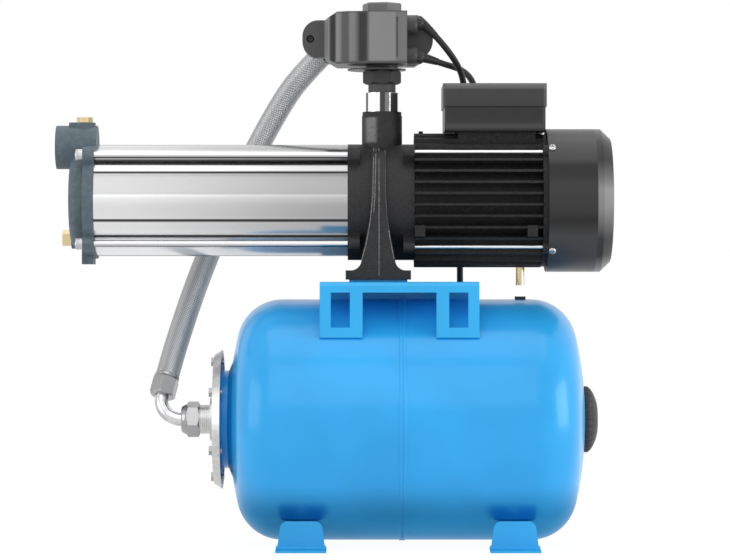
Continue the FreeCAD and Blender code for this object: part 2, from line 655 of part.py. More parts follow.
flange_bolts = Piece("flange_bolts", at=("tank_x", 0, TANK_Z))
nut = flange_bolts.pad("YZ_Plane", [hexagon("0", "flange_bolt_ring", "flange_bolt_flats")],
                       minus(FLANGE_BACK), plus(minus(FLANGE_BACK), "flange_nut"))
head = flange_bolts.pad("YZ_Plane", [hexagon("0", "flange_bolt_ring", "flange_bolt_flats")],
                        minus(plus(FLANGE_FACE, "flange_bolt_head")), minus(FLANGE_FACE))
shank = flange_bolts.pad("YZ_Plane", [("circle", "0", "flange_bolt_ring", "flange_bolt")],
                         minus(FLANGE_FACE), plus(minus(FLANGE_BACK), "flange_nut + flange_bolt_reach"))
flange_bolts.repeat([nut, head, shank], "X", 6)

valve = Piece("air_valve", at=(plus("tank_x", TANK_APEX), 0, TANK_Z))
valve.turned([
    ("0 - tank_wall - 4", "0"),
    ("0 - tank_wall - 4", "valve_radius - 0.5"),
    ("0 - tank_wall", "valve_radius - 0.5"),
    ("0", "valve_radius - 0.5"),
    ("0", "valve_seat"),
    ("2.5", "valve_seat"),
    ("2.5", "valve_radius"),
    ("valve_reach", "valve_radius"),
    ("valve_reach", "0"),
])

valve_cap = Piece("air_valve_cap", at=(plus("tank_x", TANK_APEX), 0, TANK_Z))
CAP_RIM = plus(minus("tank_crown - sqrt(tank_crown^2 - cap_radius^2)"), "cap_gap")
CAP_HUB = "valve_radius + slide_fit"
valve_cap.turned([
    (CAP_RIM, "cap_radius"),
    (plus(CAP_RIM, "cap_depth * 0.72"), "cap_radius * 0.68", "cap_radius * 1.3", -1),
    (plus(CAP_RIM, "cap_depth"), "cap_face", "cap_radius", -1),
    (plus(CAP_RIM, "cap_depth"), "0"),
    (plus(CAP_RIM, "cap_depth - cap_wall"), "0"),
    (plus(CAP_RIM, "cap_depth - cap_wall"), CAP_HUB),
    ("3", CAP_HUB),
    ("3", f"{CAP_HUB} + cap_wall"),
    (plus(CAP_RIM, "cap_depth - cap_wall"), f"{CAP_HUB} + cap_wall"),
    (plus(CAP_RIM, "cap_depth - cap_wall"), "cap_face - 1"),
    (plus(CAP_RIM, "cap_depth * 0.72 - cap_wall"), "cap_radius * 0.68 - 1", "cap_radius", 1),
    (CAP_RIM, "cap_radius - cap_wall", "cap_radius * 1.3 - cap_wall", 1),
])

# Four pressed feet, the front and back one of each pair alike
feet = Piece("tank_feet")
FOOT_TOP = f"{TANK_Z} - sqrt(tank_radius^2 - (foot_face - foot_sheet)^2)"


def foot(x, side):
    """One foot: a plate bent outwards into a toe, its upper corners rounded, with a floor hole."""
    def spot(out, up):
        return (f"{side} * ({out})", up)
    section = feet.pad("YZ_Plane", [[
        spot("foot_face - foot_sheet", FOOT_TOP),
        spot("foot_face - foot_sheet", "foot_bend"),
        (*spot("foot_face - foot_sheet + foot_bend", "0"), "foot_bend", side),
        spot("toe_reach", "0"),
        spot("toe_reach", "foot_sheet"),
        spot("foot_face - foot_sheet + foot_bend", "foot_sheet"),
        (*spot("foot_face", "foot_bend"), "foot_bend - foot_sheet", -side),
        spot("foot_face", FOOT_TOP),
    ]], f"{x} - foot_width / 2", f"{x} + foot_width / 2")
    trims = []
    for hand in (-1, 1):
        trims.append([
            (f"{x} + {hand} * foot_width", "foot_bend"),
            (f"{x} + {hand} * foot_width / 2", "foot_bend"),
            (f"{x} + {hand} * foot_waist / 2", "foot_bend + 2"),
            (f"{x} + {hand} * foot_top / 2", f"{FOOT_TOP} - foot_corner"),
            (f"{x} + {hand} * (foot_top / 2 - foot_corner)", FOOT_TOP, "foot_corner", hand),
            (f"{x} + {hand} * (foot_top / 2 - foot_corner)", f"{FOOT_TOP} + 2"),
            (f"{x} + {hand} * foot_width", f"{FOOT_TOP} + 2"),
        ])
    low, high = ("0 - foot_face - 1", "0 - foot_face + foot_sheet + 1")
    if side > 0:
        low, high = ("foot_face - foot_sheet - 1", "foot_face + 1")
    feet.cut("XZ_Plane", trims, low, high)
    feet.cut("XY_Plane", [("circle", x, f"{side} * floor_hole_y", "floor_hole_radius")],
             "0 - 1", "foot_sheet + 1")
    return section


for place in ("0 - foot_pitch / 2", "foot_pitch / 2"):
    for side in (-1, 1):
        foot(place, side)

platform = Piece("platform")
LEG_END = f"{TANK_Z} + sqrt(tank_radius^2 - (platform_face - platform_sheet)^2)"
PLATFORM_UNDER = f"{PLATFORM_TOP} - platform_sheet"
platform.pad("YZ_Plane", [[
    ("0 - platform_face", LEG_END),
    ("0 - platform_face + platform_sheet", LEG_END),
    ("0 - platform_face + platform_sheet", f"{PLATFORM_TOP} - platform_bend"),
    ("0 - platform_face + platform_bend", PLATFORM_UNDER, "platform_bend - platform_sheet", -1),
    ("platform_face - platform_bend", PLATFORM_UNDER),
    ("platform_face - platform_sheet", f"{PLATFORM_TOP} - platform_bend",
     "platform_bend - platform_sheet", -1),
    ("platform_face - platform_sheet", LEG_END),
    ("platform_face", LEG_END),
    ("platform_face", f"{PLATFORM_TOP} - platform_bend"),
    ("platform_face - platform_bend", PLATFORM_TOP, "platform_bend", 1),
    ("0 - platform_face + platform_bend", PLATFORM_TOP),
    ("0 - platform_face", f"{PLATFORM_TOP} - platform_bend", "platform_bend", 1),
]], "platform_left", "platform_right")
BEAM_LOW = f"{PLATFORM_TOP} - platform_beam"
platform.cut("XZ_Plane", [
    rectangle("platform_left + leg_width", "platform_right - leg_width", f"{LEG_END} - 1", BEAM_LOW),
    rectangle("platform_left + window_inset", "platform_left + window_inset + window_width",
              f"{BEAM_LOW} - window_height", BEAM_LOW),
    rectangle("platform_right - window_inset - window_width", "platform_right - window_inset",
              f"{BEAM_LOW} - window_height", BEAM_LOW),
], "0 - platform_face - 1", "0")
SEAM_X = "tank_x + seam_offset"
platform.cut("XZ_Plane", [rectangle(f"{SEAM_X} - seam_width", f"{SEAM_X} + seam_width",
                                    f"{LEG_END} - 1", f"{LEG_END} + 2 * seam_height")],
             "0", "platform_face + 1")
platform.pad("XY_Plane", [rectangle("leg_x - leg_foot + seat_inset", "leg_x + leg_foot - seat_inset",
                                    "0 - seat_face", "seat_face")],
             PLATFORM_TOP, f"{PLATFORM_TOP} + seat_thick")
BOLT_PLACES = [(f"leg_x + {i} * pump_bolt_pitch / 2", f"{j} * pump_bolt_y")
               for i in (-1, 1) for j in (-1, 1)]
platform.cut("XY_Plane", [("circle", x, y, "pump_bolt + hole_clear") for x, y in BOLT_PLACES],
             f"{PLATFORM_UNDER} - 1", f"{PLATFORM_TOP} + seat_thick + 1")

pump_bolts = Piece("pump_bolts")
pump_bolts.pad("XY_Plane", [hexagon(x, y, "pump_bolt_flats") for x, y in BOLT_PLACES],
               f"{PLATFORM_UNDER} - pump_bolt_head", PLATFORM_UNDER)
pump_bolts.pad("XY_Plane", [("circle", x, y, "pump_bolt") for x, y in BOLT_PLACES],
               PLATFORM_UNDER, f"{PLATFORM_TOP} + seat_thick + pump_bolt_depth")

# The pump, its pieces placed from its own axis
PUMP = (0, 0, PUMP_Z)
DIAGONAL = "sqrt(0.5)"


def corner_lugs(piece, ring, radius, inner, low, high):
    """Four lugs on the diagonals, round at their tips, each reaching in to the drum."""
    def spot(out, aside):
        return (f"{DIAGONAL} * (({out}) - ({aside}))", f"{DIAGONAL} * (({out}) + ({aside}))")
    lug = piece.pad("YZ_Plane", [[
        spot(inner, minus(radius)),
        spot(ring, minus(radius)),
        (*spot(plus(ring, radius), "0"), radius, 1),
        (*spot(ring, radius), radius, 1),
        spot(inner, radius),
    ]], low, high)
    return piece.repeat([lug], "X", 4)


def corner_circle(ring, radius):
    return ("circle", f"{ring} * {DIAGONAL}", f"{ring} * {DIAGONAL}", radius)


head = Piece("suction_head", at=PUMP)
HEAD_FACE = SLEEVE_START
head.turned([
    (HEAD_FACE, "0"),
    (HEAD_FACE, "head_flange"),
    (HEAD_LEFT, "head_flange"),
    (HEAD_LEFT, "dome_radius"),
    (f"{HEAD_LEFT} - dome_depth + dome_round", "dome_radius"),
    (f"{HEAD_LEFT} - dome_depth", "dome_radius - dome_round", "dome_round", 1),
    (f"{HEAD_LEFT} - dome_depth", "0"),
])
corner_lugs(head, "tie_ring", "lug_radius", "tie_ring / 2", HEAD_LEFT, HEAD_FACE)
head.pad("YZ_Plane", [rectangle("0 - head_foot_half", "head_foot_half",
                                "0 - head_foot_drop", "0 - dome_radius")],
         f"{HEAD_LEFT} - head_foot_set", f"{HEAD_FACE} - head_foot_set")
head.pad("YZ_Plane", [("circle", "0", "suction_rise", "suction_radius")],
         f"{HEAD_FACE} - head_flange_thick - suction_reach", HEAD_FACE)
FILL_X = f"{HEAD_FACE} - fill_place"
head.pad("XY_Plane", [("circle", FILL_X, "0", "fill_radius")], "dome_radius", "fill_rise")
head.pad("XY_Plane", [rectangle(f"{FILL_X} - fill_radius * 1.4", FILL_X,
                                "0 - fill_radius * 0.8", "fill_radius * 0.8")],
         "dome_radius", "fill_rise")
head.pad("YZ_Plane", [("circle", "0", "0 - drain_drop", "drain_radius")],
         f"{HEAD_LEFT} - dome_depth", HEAD_LEFT)
head.turned([
    (HEAD_FACE, f"{SPIGOT} - spigot_wall"),
    (f"{HEAD_FACE} + spigot_length", f"{SPIGOT} - spigot_wall"),
    (f"{HEAD_FACE} + spigot_length", SPIGOT),
    (f"{HEAD_FACE} + spigot_length / 2 + seal_cord / 2", SPIGOT),
    (f"{HEAD_FACE} + spigot_length / 2 + seal_cord / 2", f"{SPIGOT} - seal_cord"),
    (f"{HEAD_FACE} + spigot_length / 2 - seal_cord / 2", f"{SPIGOT} - seal_cord"),
    (f"{HEAD_FACE} + spigot_length / 2 - seal_cord / 2", SPIGOT),
    (HEAD_FACE, SPIGOT),
])
CHAMBER_RADIUS = "dome_radius - head_wall"
head.turned([
    (f"{HEAD_FACE} + 1", "0"),
    (f"{HEAD_LEFT} - dome_depth + head_wall", "0"),
    (f"{HEAD_LEFT} - dome_depth + head_wall", f"{CHAMBER_RADIUS} - dome_round"),
    (f"{HEAD_LEFT} - dome_depth + head_wall + dome_round", CHAMBER_RADIUS, "dome_round", -1),
    (f"{HEAD_FACE} + 1", CHAMBER_RADIUS),
], cut=True)
PORT_FACE = f"{HEAD_LEFT} - suction_reach"
head.cut("YZ_Plane", [("circle", "0", "suction_rise", "port_thread")],
         f"{PORT_FACE} - 1", f"{PORT_FACE} + port_depth")
head.cut("YZ_Plane", [("circle", "0", "suction_rise", "port_passage")],
         f"{PORT_FACE} + port_depth - 1", f"{HEAD_FACE} - head_wall")
head.cut("XY_Plane", [("circle", FILL_X, "0", "plug_thread")], "suction_rise", "fill_rise + 1")
head.cut("YZ_Plane", [("circle", "0", "0 - drain_drop", "plug_thread")],
         f"{HEAD_LEFT} - dome_depth - 1", f"{HEAD_LEFT} - dome_depth + head_wall + dome_round")
rod_hole = head.cut("YZ_Plane", [corner_circle("tie_ring", "tie_radius + hole_clear")],
                    f"{HEAD_LEFT} - 1", f"{HEAD_FACE} + 1")
head.repeat([rod_hole], "X", 4)


def screw_plug(label, head, at, axis=(0, 0, 1), angle=0):
    """A hexagonal plug whose head rests on its boss at the piece's origin, its thread below."""
    plug = Piece(label, at=at, axis=axis, angle=angle)
    plug.pad("XY_Plane", [hexagon("0", "0", "plug_flats")], "0", head)
    plug.pad("XY_Plane", [("circle", "0", "0", "plug_thread - slide_fit")], "0 - plug_depth", "0")
    return plug


screw_plug("fill_plug", "fill_head", at=(FILL_X, 0, f"{PUMP_Z} + fill_rise"))
screw_plug("drain_plug", "drain_head", at=(f"{HEAD_LEFT} - dome_depth", 0, f"{PUMP_Z} - drain_drop"),
           axis=(0, 1, 0), angle="0 - 90")

sleeve = Piece("pump_sleeve", at=PUMP)
sleeve.turned(tube_section(SLEEVE_START, "sleeve_end", SLEEVE_BORE, "sleeve_radius"))

seals = Piece("sleeve_seals", at=PUMP)
for middle in (f"{HEAD_FACE} + spigot_length / 2", "sleeve_end - spigot_length / 2"):
    seals.turned(tube_section(f"{middle} - seal_cord * 0.45", f"{middle} + seal_cord * 0.45",
                              f"{SPIGOT} - seal_cord + 0.1", SLEEVE_BORE))

rods = Piece("pump_tie_rods", at=PUMP)
rod_head = rods.pad("YZ_Plane", [corner_circle("tie_ring", "tie_head")],
                    f"{HEAD_LEFT} - tie_head_height", HEAD_LEFT)
rod = rods.pad("YZ_Plane", [corner_circle("tie_ring", "tie_radius")], HEAD_LEFT, "sleeve_end + tie_depth")
rods.repeat([rod_head, rod], "X", 4)

# The stages: each has a closed impeller on the shaft and a fixed diffuser round it
SHAFT_HOLE = "shaft_radius + slide_fit"


def impeller(label, start):
    """Two shrouds, a hub and swept-back vanes between the shrouds."""
    wheel = Piece(label, at=(start, 0, PUMP_Z))
    back = "impeller_width + shroud_thick"
    wheel.turned([
        (back, SHAFT_HOLE),
        ("0 - shroud_thick", SHAFT_HOLE),
        ("0 - shroud_thick", "impeller_hub"),
        (back, "impeller_hub + 2"),
        (back, "impeller_radius"),
        (f"{back} + shroud_thick", "impeller_radius"),
        (f"{back} + shroud_thick", "impeller_hub"),
        (f"{back} + 2 * shroud_thick", "impeller_hub"),
        (f"{back} + 2 * shroud_thick", SHAFT_HOLE),
    ])
    wheel.turned([
        ("0 - shroud_thick", "impeller_eye"),
        ("0 - shroud_thick", "impeller_eye + shroud_thick"),
        ("0", "impeller_eye + 2 * shroud_thick"),
        ("shroud_thick", "impeller_radius"),
        ("2 * shroud_thick", "impeller_radius"),
        ("shroud_thick", "impeller_eye + shroud_thick"),
        ("0", "impeller_eye"),
    ])
    tip = "impeller_radius * cos(50)", "impeller_radius * sin(50) - 0.3"
    vane = wheel.pad("YZ_Plane", [[
        ("impeller_hub + 3", "0", "vane_sweep + vane_thick", -1),
        ("impeller_hub + 3 + vane_thick", "0"),
        (*tip, "vane_sweep + vane_thick", 1),
        (f"{tip[0]} - vane_thick", f"{tip[1]} + 0.2"),
    ]], "shroud_thick * 1.5", back)
    wheel.repeat([vane], "X", "vane_count")
    return wheel


def diffuser(label, start):
    """A cup that fits the sleeve, with an eye for the next stage and guide vanes behind its impeller."""
    cup = Piece(label, at=(start, 0, PUMP_Z))
    outer = f"{SLEEVE_BORE} - diffuser_fit"
    inner = f"{outer} - diffuser_wall"
    floor = "impeller_place + impeller_width + 4 * shroud_thick + 1"
    cup.turned(tube_section("0", STAGE_PITCH, inner, outer))
    cup.turned(tube_section("0", "diffuser_wall", "diffuser_eye + diffuser_wall", inner))
    cup.turned(tube_section(floor, f"{floor} + diffuser_wall", "impeller_hub + 1", "impeller_radius + 2"))
    guide = cup.pad("YZ_Plane", [[
        ("impeller_hub + 2", "0", "impeller_radius", -1),
        ("impeller_hub + 5", "0"),
        (f"({inner}) * cos(30)", f"({inner}) * sin(30) + 0.2", "impeller_radius", 1),
        (f"({inner}) * cos(30) - 3", f"({inner}) * sin(30) + 1.5"),
    ]], f"{floor} + diffuser_wall", STAGE_PITCH)
    cup.repeat([guide], "X", "guide_count")
    return cup


STAGES_START = f"{HEAD_FACE} + spigot_length"
for stage in range(4):
    begin = f"{STAGES_START} + {stage} * {STAGE_PITCH}"
    diffuser(f"diffuser_{stage + 1}", begin)
    impeller(f"impeller_{stage + 1}", f"{begin} + impeller_place")

shaft = Piece("pump_shaft", at=PUMP)
shaft.turned([
    (SHAFT_LEFT, "0"),
    (SHAFT_LEFT, "shaft_radius - 1"),
    (f"{SHAFT_LEFT} + 1", "shaft_radius"),
    ("shaft_right", "shaft_radius"),
    ("shaft_right", "0"),
])

SEAT_LEFT = "web_place + web_thick - seat_length"
seat = Piece("seal_seat", at=PUMP)
seat.turned(tube_section(SEAT_LEFT, "web_place + web_thick", "shaft_radius + 1", "seat_radius"))
ring = Piece("seal_ring", at=PUMP)
RING_RIGHT = f"{SEAT_LEFT} - seal_gap"
ring.turned([
    (f"{RING_RIGHT} - ring_length", SHAFT_HOLE),
    (RING_RIGHT, SHAFT_HOLE),
    (RING_RIGHT, "ring_radius - 2"),
    (f"{RING_RIGHT} - 3", "ring_radius - 2"),
    (f"{RING_RIGHT} - 3", "ring_radius - 0.5"),
    (f"{RING_RIGHT} - ring_length", "ring_radius - 0.5"),
])

# The discharge casing: a drum on a flared leg, with the discharge port on top
casing = Piece("discharge_casing", at=PUMP)


def leg_side(hand):
    """The leg's outline on one side, from its foot up to the rib's top."""
    def spot(out, up):
        return (f"leg_x + {hand} * ({out})", up)
    return [
        spot("leg_foot", "0 - shaft_rise"),
        spot("leg_foot", "foot_thick - shaft_rise"),
        spot("leg_flare + flare_radius", "foot_thick - shaft_rise"),
        (*spot("leg_flare", "foot_thick + flare_radius - shaft_rise"), "flare_radius", -hand),
        spot("leg_waist", "0 - shaft_rise * 0.18"),
        spot("leg_crest", "drum_radius * 0.85"),
    ]


def backwards(corners):
    """The same outline walked the other way, each arc with its turn changed over."""
    walked = [corners[-1][:2]]
    for i in range(len(corners) - 1, 0, -1):
        arc = corners[i][2:]
        walked.append((*corners[i - 1][:2], *((arc[0], -arc[1]) if arc else ())))
    return walked


casing.pad("XZ_Plane", [leg_side(1) + backwards(leg_side(-1))], "0 - foot_half", "foot_half")
for hand in (-1, 1):
    casing.cut("YZ_Plane", [[
        (f"{hand} * leg_face", "foot_thick - shaft_rise"),
        (f"{hand} * leg_face", "0"),
        ("0", "leg_face", "leg_face", hand),
        (f"{hand} * (foot_half + 5)", "leg_face"),
        (f"{hand} * (foot_half + 5)", "foot_thick - shaft_rise"),
    ]], "leg_x - leg_foot - 1", "leg_x + leg_foot + 1")
casing.cut("YZ_Plane", [[
    ("0 - arch_half", "0 - shaft_rise - 1"),
    ("arch_half", "0 - shaft_rise - 1"),
    ("arch_half * 0.8", "0 - drum_radius * 0.95"),
    ("0 - arch_half * 0.8", "0 - drum_radius * 0.95"),
]], "leg_x - leg_foot - 1", "leg_x + leg_foot + 1")
casing.pad("YZ_Plane", [("circle", "0", "0", "drum_radius")], "sleeve_end", "casing_right")
casing.pad("YZ_Plane", [[
    ("0 - sump_half", "0 - sump_drop"),
    ("sump_half", "0 - sump_drop"),
    ("sump_half * 1.5", "0 - drum_radius * 0.85"),
    ("0 - sump_half * 1.5", "0 - drum_radius * 0.85"),
]], "sleeve_end", "casing_right")
corner_lugs(casing, "tie_ring", "lug_radius", "tie_ring / 2", "sleeve_end", "sleeve_end + left_lug_thick")
corner_lugs(casing, "motor_tie_ring", "motor_lug", "motor_tie_ring / 2", "casing_right - right_lug_thick",
            "casing_right")
casing.pad("XY_Plane", [("circle", "port_x", "0", "port_radius")], "0", "port_rise")
casing.pad("XY_Plane", [("circle", "port_x", "0", "port_rim")], "port_rise", "port_rise + port_rim_height")
casing.turned([
    ("sleeve_end - spigot_length", f"{SPIGOT} - spigot_wall"),
    ("sleeve_end", f"{SPIGOT} - spigot_wall"),
    ("sleeve_end", SPIGOT),
    ("sleeve_end - spigot_length / 2 + seal_cord / 2", SPIGOT),
    ("sleeve_end - spigot_length / 2 + seal_cord / 2", f"{SPIGOT} - seal_cord"),
    ("sleeve_end - spigot_length / 2 - seal_cord / 2", f"{SPIGOT} - seal_cord"),
    ("sleeve_end - spigot_length / 2 - seal_cord / 2", SPIGOT),
    ("sleeve_end - spigot_length", SPIGOT),
])
casing.turned([
    ("sleeve_end - 1", "0"),
    ("web_place", "0"),
    ("web_place", f"{SPIGOT} - spigot_wall"),
    ("sleeve_end - 1", f"{SPIGOT} - spigot_wall"),
], cut=True)
casing.turned([
    ("web_place + web_thick", "0"),
    ("casing_right + 1", "0"),
    ("casing_right + 1", "drum_radius - casing_wall"),
    ("web_place + web_thick", "drum_radius - casing_wall"),
], cut=True)
casing.turned(tube_section("web_place + web_thick", "casing_right - 2", "bearing_radius", "bearing_hub"))
casing.turned([
    ("web_place - 1", "0"),
    ("web_place - 1", "shaft_radius + 3"),
    (SEAT_LEFT, "shaft_radius + 3"),
    (SEAT_LEFT, "seat_radius"),
    ("web_place + web_thick + 1", "seat_radius"),
    ("web_place + web_thick + 1", "0"),
], cut=True)
casing.cut("XY_Plane", [("circle", "port_x", "0", "port_thread")], "drum_radius / 2",
           "port_rise + port_rim_height + 1")
rod_hole = casing.cut("YZ_Plane", [corner_circle("tie_ring", "tie_radius + hole_clear")],
                      "sleeve_end - 1", "sleeve_end + tie_depth + hole_clear")
casing.repeat([rod_hole], "X", 4)
rod_hole = casing.cut("YZ_Plane", [corner_circle("motor_tie_ring", "motor_tie + hole_clear")],
                      "casing_right - right_lug_thick + 2", "casing_right + 1")
casing.repeat([rod_hole], "X", 4)
casing.cut("XY_Plane", [("circle", x, y, "pump_bolt + hole_clear") for x, y in BOLT_PLACES],
           "0 - shaft_rise - 1", "pump_bolt_depth + hole_clear - shaft_rise")

# The motor, placed from the pump's axis too
housing = Piece("motor_housing", at=PUMP)
FIN_SPAN = "7 * fin_pitch"
OUTSIDE = "motor_radius + 10"


def fins(plane_side):
    """Parallel fins across the housing, level ones or upright ones."""
    low, high = f"0 - {FIN_SPAN} / 2 - fin_thick / 2", f"0 - {FIN_SPAN} / 2 + fin_thick / 2"
    wide, tall = (minus(OUTSIDE), OUTSIDE), (low, high)
    loop = rectangle(*wide, *tall) if plane_side == "Z" else rectangle(*tall, *wide)
    fin = housing.pad("YZ_Plane", [loop], "casing_right", MOTOR_END)
    housing.row([fin], plane_side, FIN_SPAN, 8)


fins("Z")
fins("Y")
housing.cut("YZ_Plane", [("circle", "0", "0", "motor_radius * 2"), ("circle", "0", "0", "motor_radius")],
            "casing_right - 1", f"{MOTOR_END} + 1")
housing.pad("YZ_Plane", [("circle", "0", "0", "motor_core")], "casing_right", MOTOR_END)
PAD_LOW = "0 - fin_pitch * 2.5 - fin_thick * 3.5"
for left in ("casing_right", f"{MOTOR_END} - fin_pitch * 1.4"):
    housing.pad("XZ_Plane", [rectangle(left, f"{left} + fin_pitch * 0.9", PAD_LOW, f"{PAD_LOW} + fin_pitch")],
                "0 - motor_radius * 0.93", "motor_radius * 0.93")
housing.pad("XY_Plane", [rectangle("saddle_left", "saddle_right", "0 - saddle_half", "saddle_half")],
            "motor_core", "box_rise")
housing.pad("XY_Plane", [rectangle("bump_x", "bump_x + bump_size", "0 - bump_size / 2", "bump_size / 2")],
            "stator_radius", "bump_rise")
housing.cut("YZ_Plane", [("circle", "0", "0", "stator_radius")], "casing_right - 1", f"{MOTOR_END} + 1")
housing.cut("XY_Plane", [("circle", "saddle_left + saddle_half", "0", "capacitor_radius / 2")],
            "stator_radius / 2", "box_rise + 1")

CORE_LEFT = f"(casing_right + {MOTOR_END}) / 2 - rotor_length / 2"
CORE_RIGHT = f"(casing_right + {MOTOR_END}) / 2 + rotor_length / 2"
stator = Piece("stator", at=PUMP)
BORE = "rotor_radius + air_gap"
stator.turned([
    (CORE_LEFT, BORE),
    (CORE_RIGHT, BORE),
    (CORE_RIGHT, "rotor_radius + 3"),
    (f"{CORE_RIGHT} + winding_reach", "rotor_radius + 5"),
    (f"{CORE_RIGHT} + winding_reach", "stator_radius - 4"),
    (CORE_RIGHT, "stator_radius - 2"),
    (CORE_RIGHT, "stator_radius"),
    (CORE_LEFT, "stator_radius"),
    (CORE_LEFT, "stator_radius - 2"),
    (f"{CORE_LEFT} - winding_reach", "stator_radius - 4"),
    (f"{CORE_LEFT} - winding_reach", "rotor_radius + 5"),
    (CORE_LEFT, "rotor_radius + 3"),
])
rotor = Piece("rotor_core", at=PUMP)
rotor.turned(tube_section(CORE_LEFT, CORE_RIGHT, SHAFT_HOLE, "rotor_radius"))

bearings = Piece("motor_bearings", at=PUMP)
FRONT_BEARING = "casing_right - 2 - bearing_width"
REAR_BEARING = f"{MOTOR_END} - bearing_width"
for left in (FRONT_BEARING, REAR_BEARING):
    bearings.turned(tube_section(left, f"{left} + bearing_width", SHAFT_HOLE, "bearing_radius"))

shield = Piece("motor_end_shield", at=PUMP)
RIM_OUT = "cover_radius - cover_sheet - slide_fit"
shield.turned([
    (REAR_BEARING, "bearing_radius"),
    (MOTOR_END, "bearing_radius"),
    (MOTOR_END, "shaft_radius + 2"),
    (SHIELD_END, "shaft_radius + 2"),
    (SHIELD_END, f"{RIM_OUT} - 5"),
    (f"{SHIELD_END} + 2 * screw_place", f"{RIM_OUT} - 5"),
    (f"{SHIELD_END} + 2 * screw_place", RIM_OUT),
    (SHIELD_END, RIM_OUT),
    (SHIELD_END, "shield_radius"),
    (MOTOR_END, "shield_radius"),
    (MOTOR_END, "bearing_hub"),
    (REAR_BEARING, "bearing_hub"),
])
corner_lugs(shield, "motor_tie_ring", "motor_lug", "shield_radius * 0.75", MOTOR_END, SHIELD_END)
rod_hole = shield.cut("YZ_Plane", [corner_circle("motor_tie_ring", "motor_tie + hole_clear")],
                      f"{MOTOR_END} - 1", f"{SHIELD_END} - 1")
shield.repeat([rod_hole], "X", 4)

motor_rods = Piece("motor_tie_rods", at=PUMP)
rod = motor_rods.pad("YZ_Plane", [corner_circle("motor_tie_ring", "motor_tie")],
                     "casing_right - right_lug_thick + 3", f"{SHIELD_END} - 1.5")
motor_rods.repeat([rod], "X", 4)

fan = Piece("cooling_fan", at=PUMP)
FAN_LEFT = f"{SHIELD_END} + fan_place"
fan.turned([
    (FAN_LEFT, SHAFT_HOLE),
    (FAN_LEFT, "fan_radius"),
    (f"{FAN_LEFT} + shroud_thick", "fan_radius"),
    (f"{FAN_LEFT} + shroud_thick", "shaft_radius * 2"),
    (f"{FAN_LEFT} + fan_width * 0.7", "shaft_radius * 1.8"),
    (f"{FAN_LEFT} + fan_width * 0.7", SHAFT_HOLE),
])
blade = fan.pad("YZ_Plane", [rectangle("shaft_radius * 1.5", "fan_radius",
                                       "0 - shroud_thick / 2", "shroud_thick / 2")],
                FAN_LEFT, f"{FAN_LEFT} + fan_width")
fan.repeat([blade], "X", "fan_blades")

cover = Piece("fan_cover", at=PUMP)
COVER_IN = "cover_radius - cover_sheet"
COVER_EDGE = f"{SHIELD_END} + cover_straight"
COVER_FACE = f"{SHIELD_END} + cover_length - cover_bulge"
cover.turned([
    (SHIELD_END, COVER_IN),
    (SHIELD_END, "cover_radius"),
    (COVER_EDGE, "cover_radius"),
    (COVER_FACE, "cover_crown"),
    (f"{COVER_FACE} + cover_bulge", "0", "(cover_crown^2 + cover_bulge^2) / (2 * cover_bulge)", -1),
    (f"{COVER_FACE} + cover_bulge - cover_sheet", "0"),
    (f"{COVER_FACE} - cover_sheet", "cover_crown - cover_sheet",
     "((cover_crown - cover_sheet)^2 + cover_bulge^2) / (2 * cover_bulge)", 1),
    (f"{COVER_EDGE} - cover_sheet", COVER_IN),
])
slots = []
for i in range(-6, 7):
    up = f"{i} * grille_pitch"
    reach = f"sqrt((cover_crown * 0.86)^2 - ({up})^2)"
    slots.append(rectangle(minus(reach), reach, f"{up} - grille_slot / 2", f"{up} + grille_slot / 2"))
cover.cut("YZ_Plane", slots, f"{COVER_FACE} - 6", f"{COVER_FACE} + cover_bulge + 1")

cover_screws = Piece("fan_cover_screws", at=PUMP, axis=(1, 0, 0), angle=45)
SCREW_X = f"{SHIELD_END} + screw_place"
screw = cover_screws.pad("XY_Plane", [("circle", SCREW_X, "0", "screw_radius")],
                         "cover_radius", "cover_radius + screw_height")
cover_screws.repeat([screw], "X", 4)

stud = Piece("support_stud", at=("stud_x", 0, PUMP_Z))
stud.pad("XY_Plane", [("circle", "0", "0", "stud_radius")], "0 - stud_drop", "0 - motor_radius")
support_pad = Piece("support_pad", at=("stud_x", 0, f"{TANK_Z} + tank_radius"))
support_pad.pad("XY_Plane", [rectangle("0 - pad_width / 2", "pad_width / 2",
                                       "0 - pad_width / 2", "pad_width / 2")],
                "0", "pad_height")

box = Piece("terminal_box", at=PUMP)
BOX_IN = "(box_inset + box_wall)"
LID_LOW = "box_rise + box_height"
box.pad("XY_Plane", [rectangle("box_left + box_inset", "box_right - box_inset",
                               "box_inset - box_half", "box_half - box_inset")], "box_rise", LID_LOW)
box.rounded("box_round", lambda edge: edge.BoundBox.ZMax < number("box_rise") + 0.01
            and edge.BoundBox.YLength < 0.01)
box.cut("XY_Plane", [rectangle(f"box_left + {BOX_IN}", f"box_right - {BOX_IN}",
                               f"{BOX_IN} + box_wall - box_half", f"box_half - {BOX_IN} - box_wall")],
        "box_rise + box_wall", f"{LID_LOW} + 1")
box.cut("XY_Plane", [("circle", "saddle_left + saddle_half", "0", "capacitor_radius / 2")],
        "box_rise - 1", "box_rise + box_wall + 1")

lid = Piece("terminal_lid", at=PUMP)
lid.pad("XY_Plane", [rectangle("box_left", "box_right", "0 - box_half", "box_half")],
        LID_LOW, f"{LID_LOW} + lid_height")
lid.rounded("lid_bevel", lambda edge: edge.BoundBox.ZLength > 1 or edge.BoundBox.YLength < 0.01
            and edge.BoundBox.ZMin > number(f"{LID_LOW} + lid_height") - 0.01, kind="Chamfer")
lid.cut("XY_Plane", [rectangle(f"box_left + {BOX_IN}", f"box_right - {BOX_IN}",
                               f"{BOX_IN} - box_half", f"box_half - {BOX_IN}")],
        f"{LID_LOW} - 1", f"{LID_LOW} + lid_height - box_wall - lid_bevel / 2")

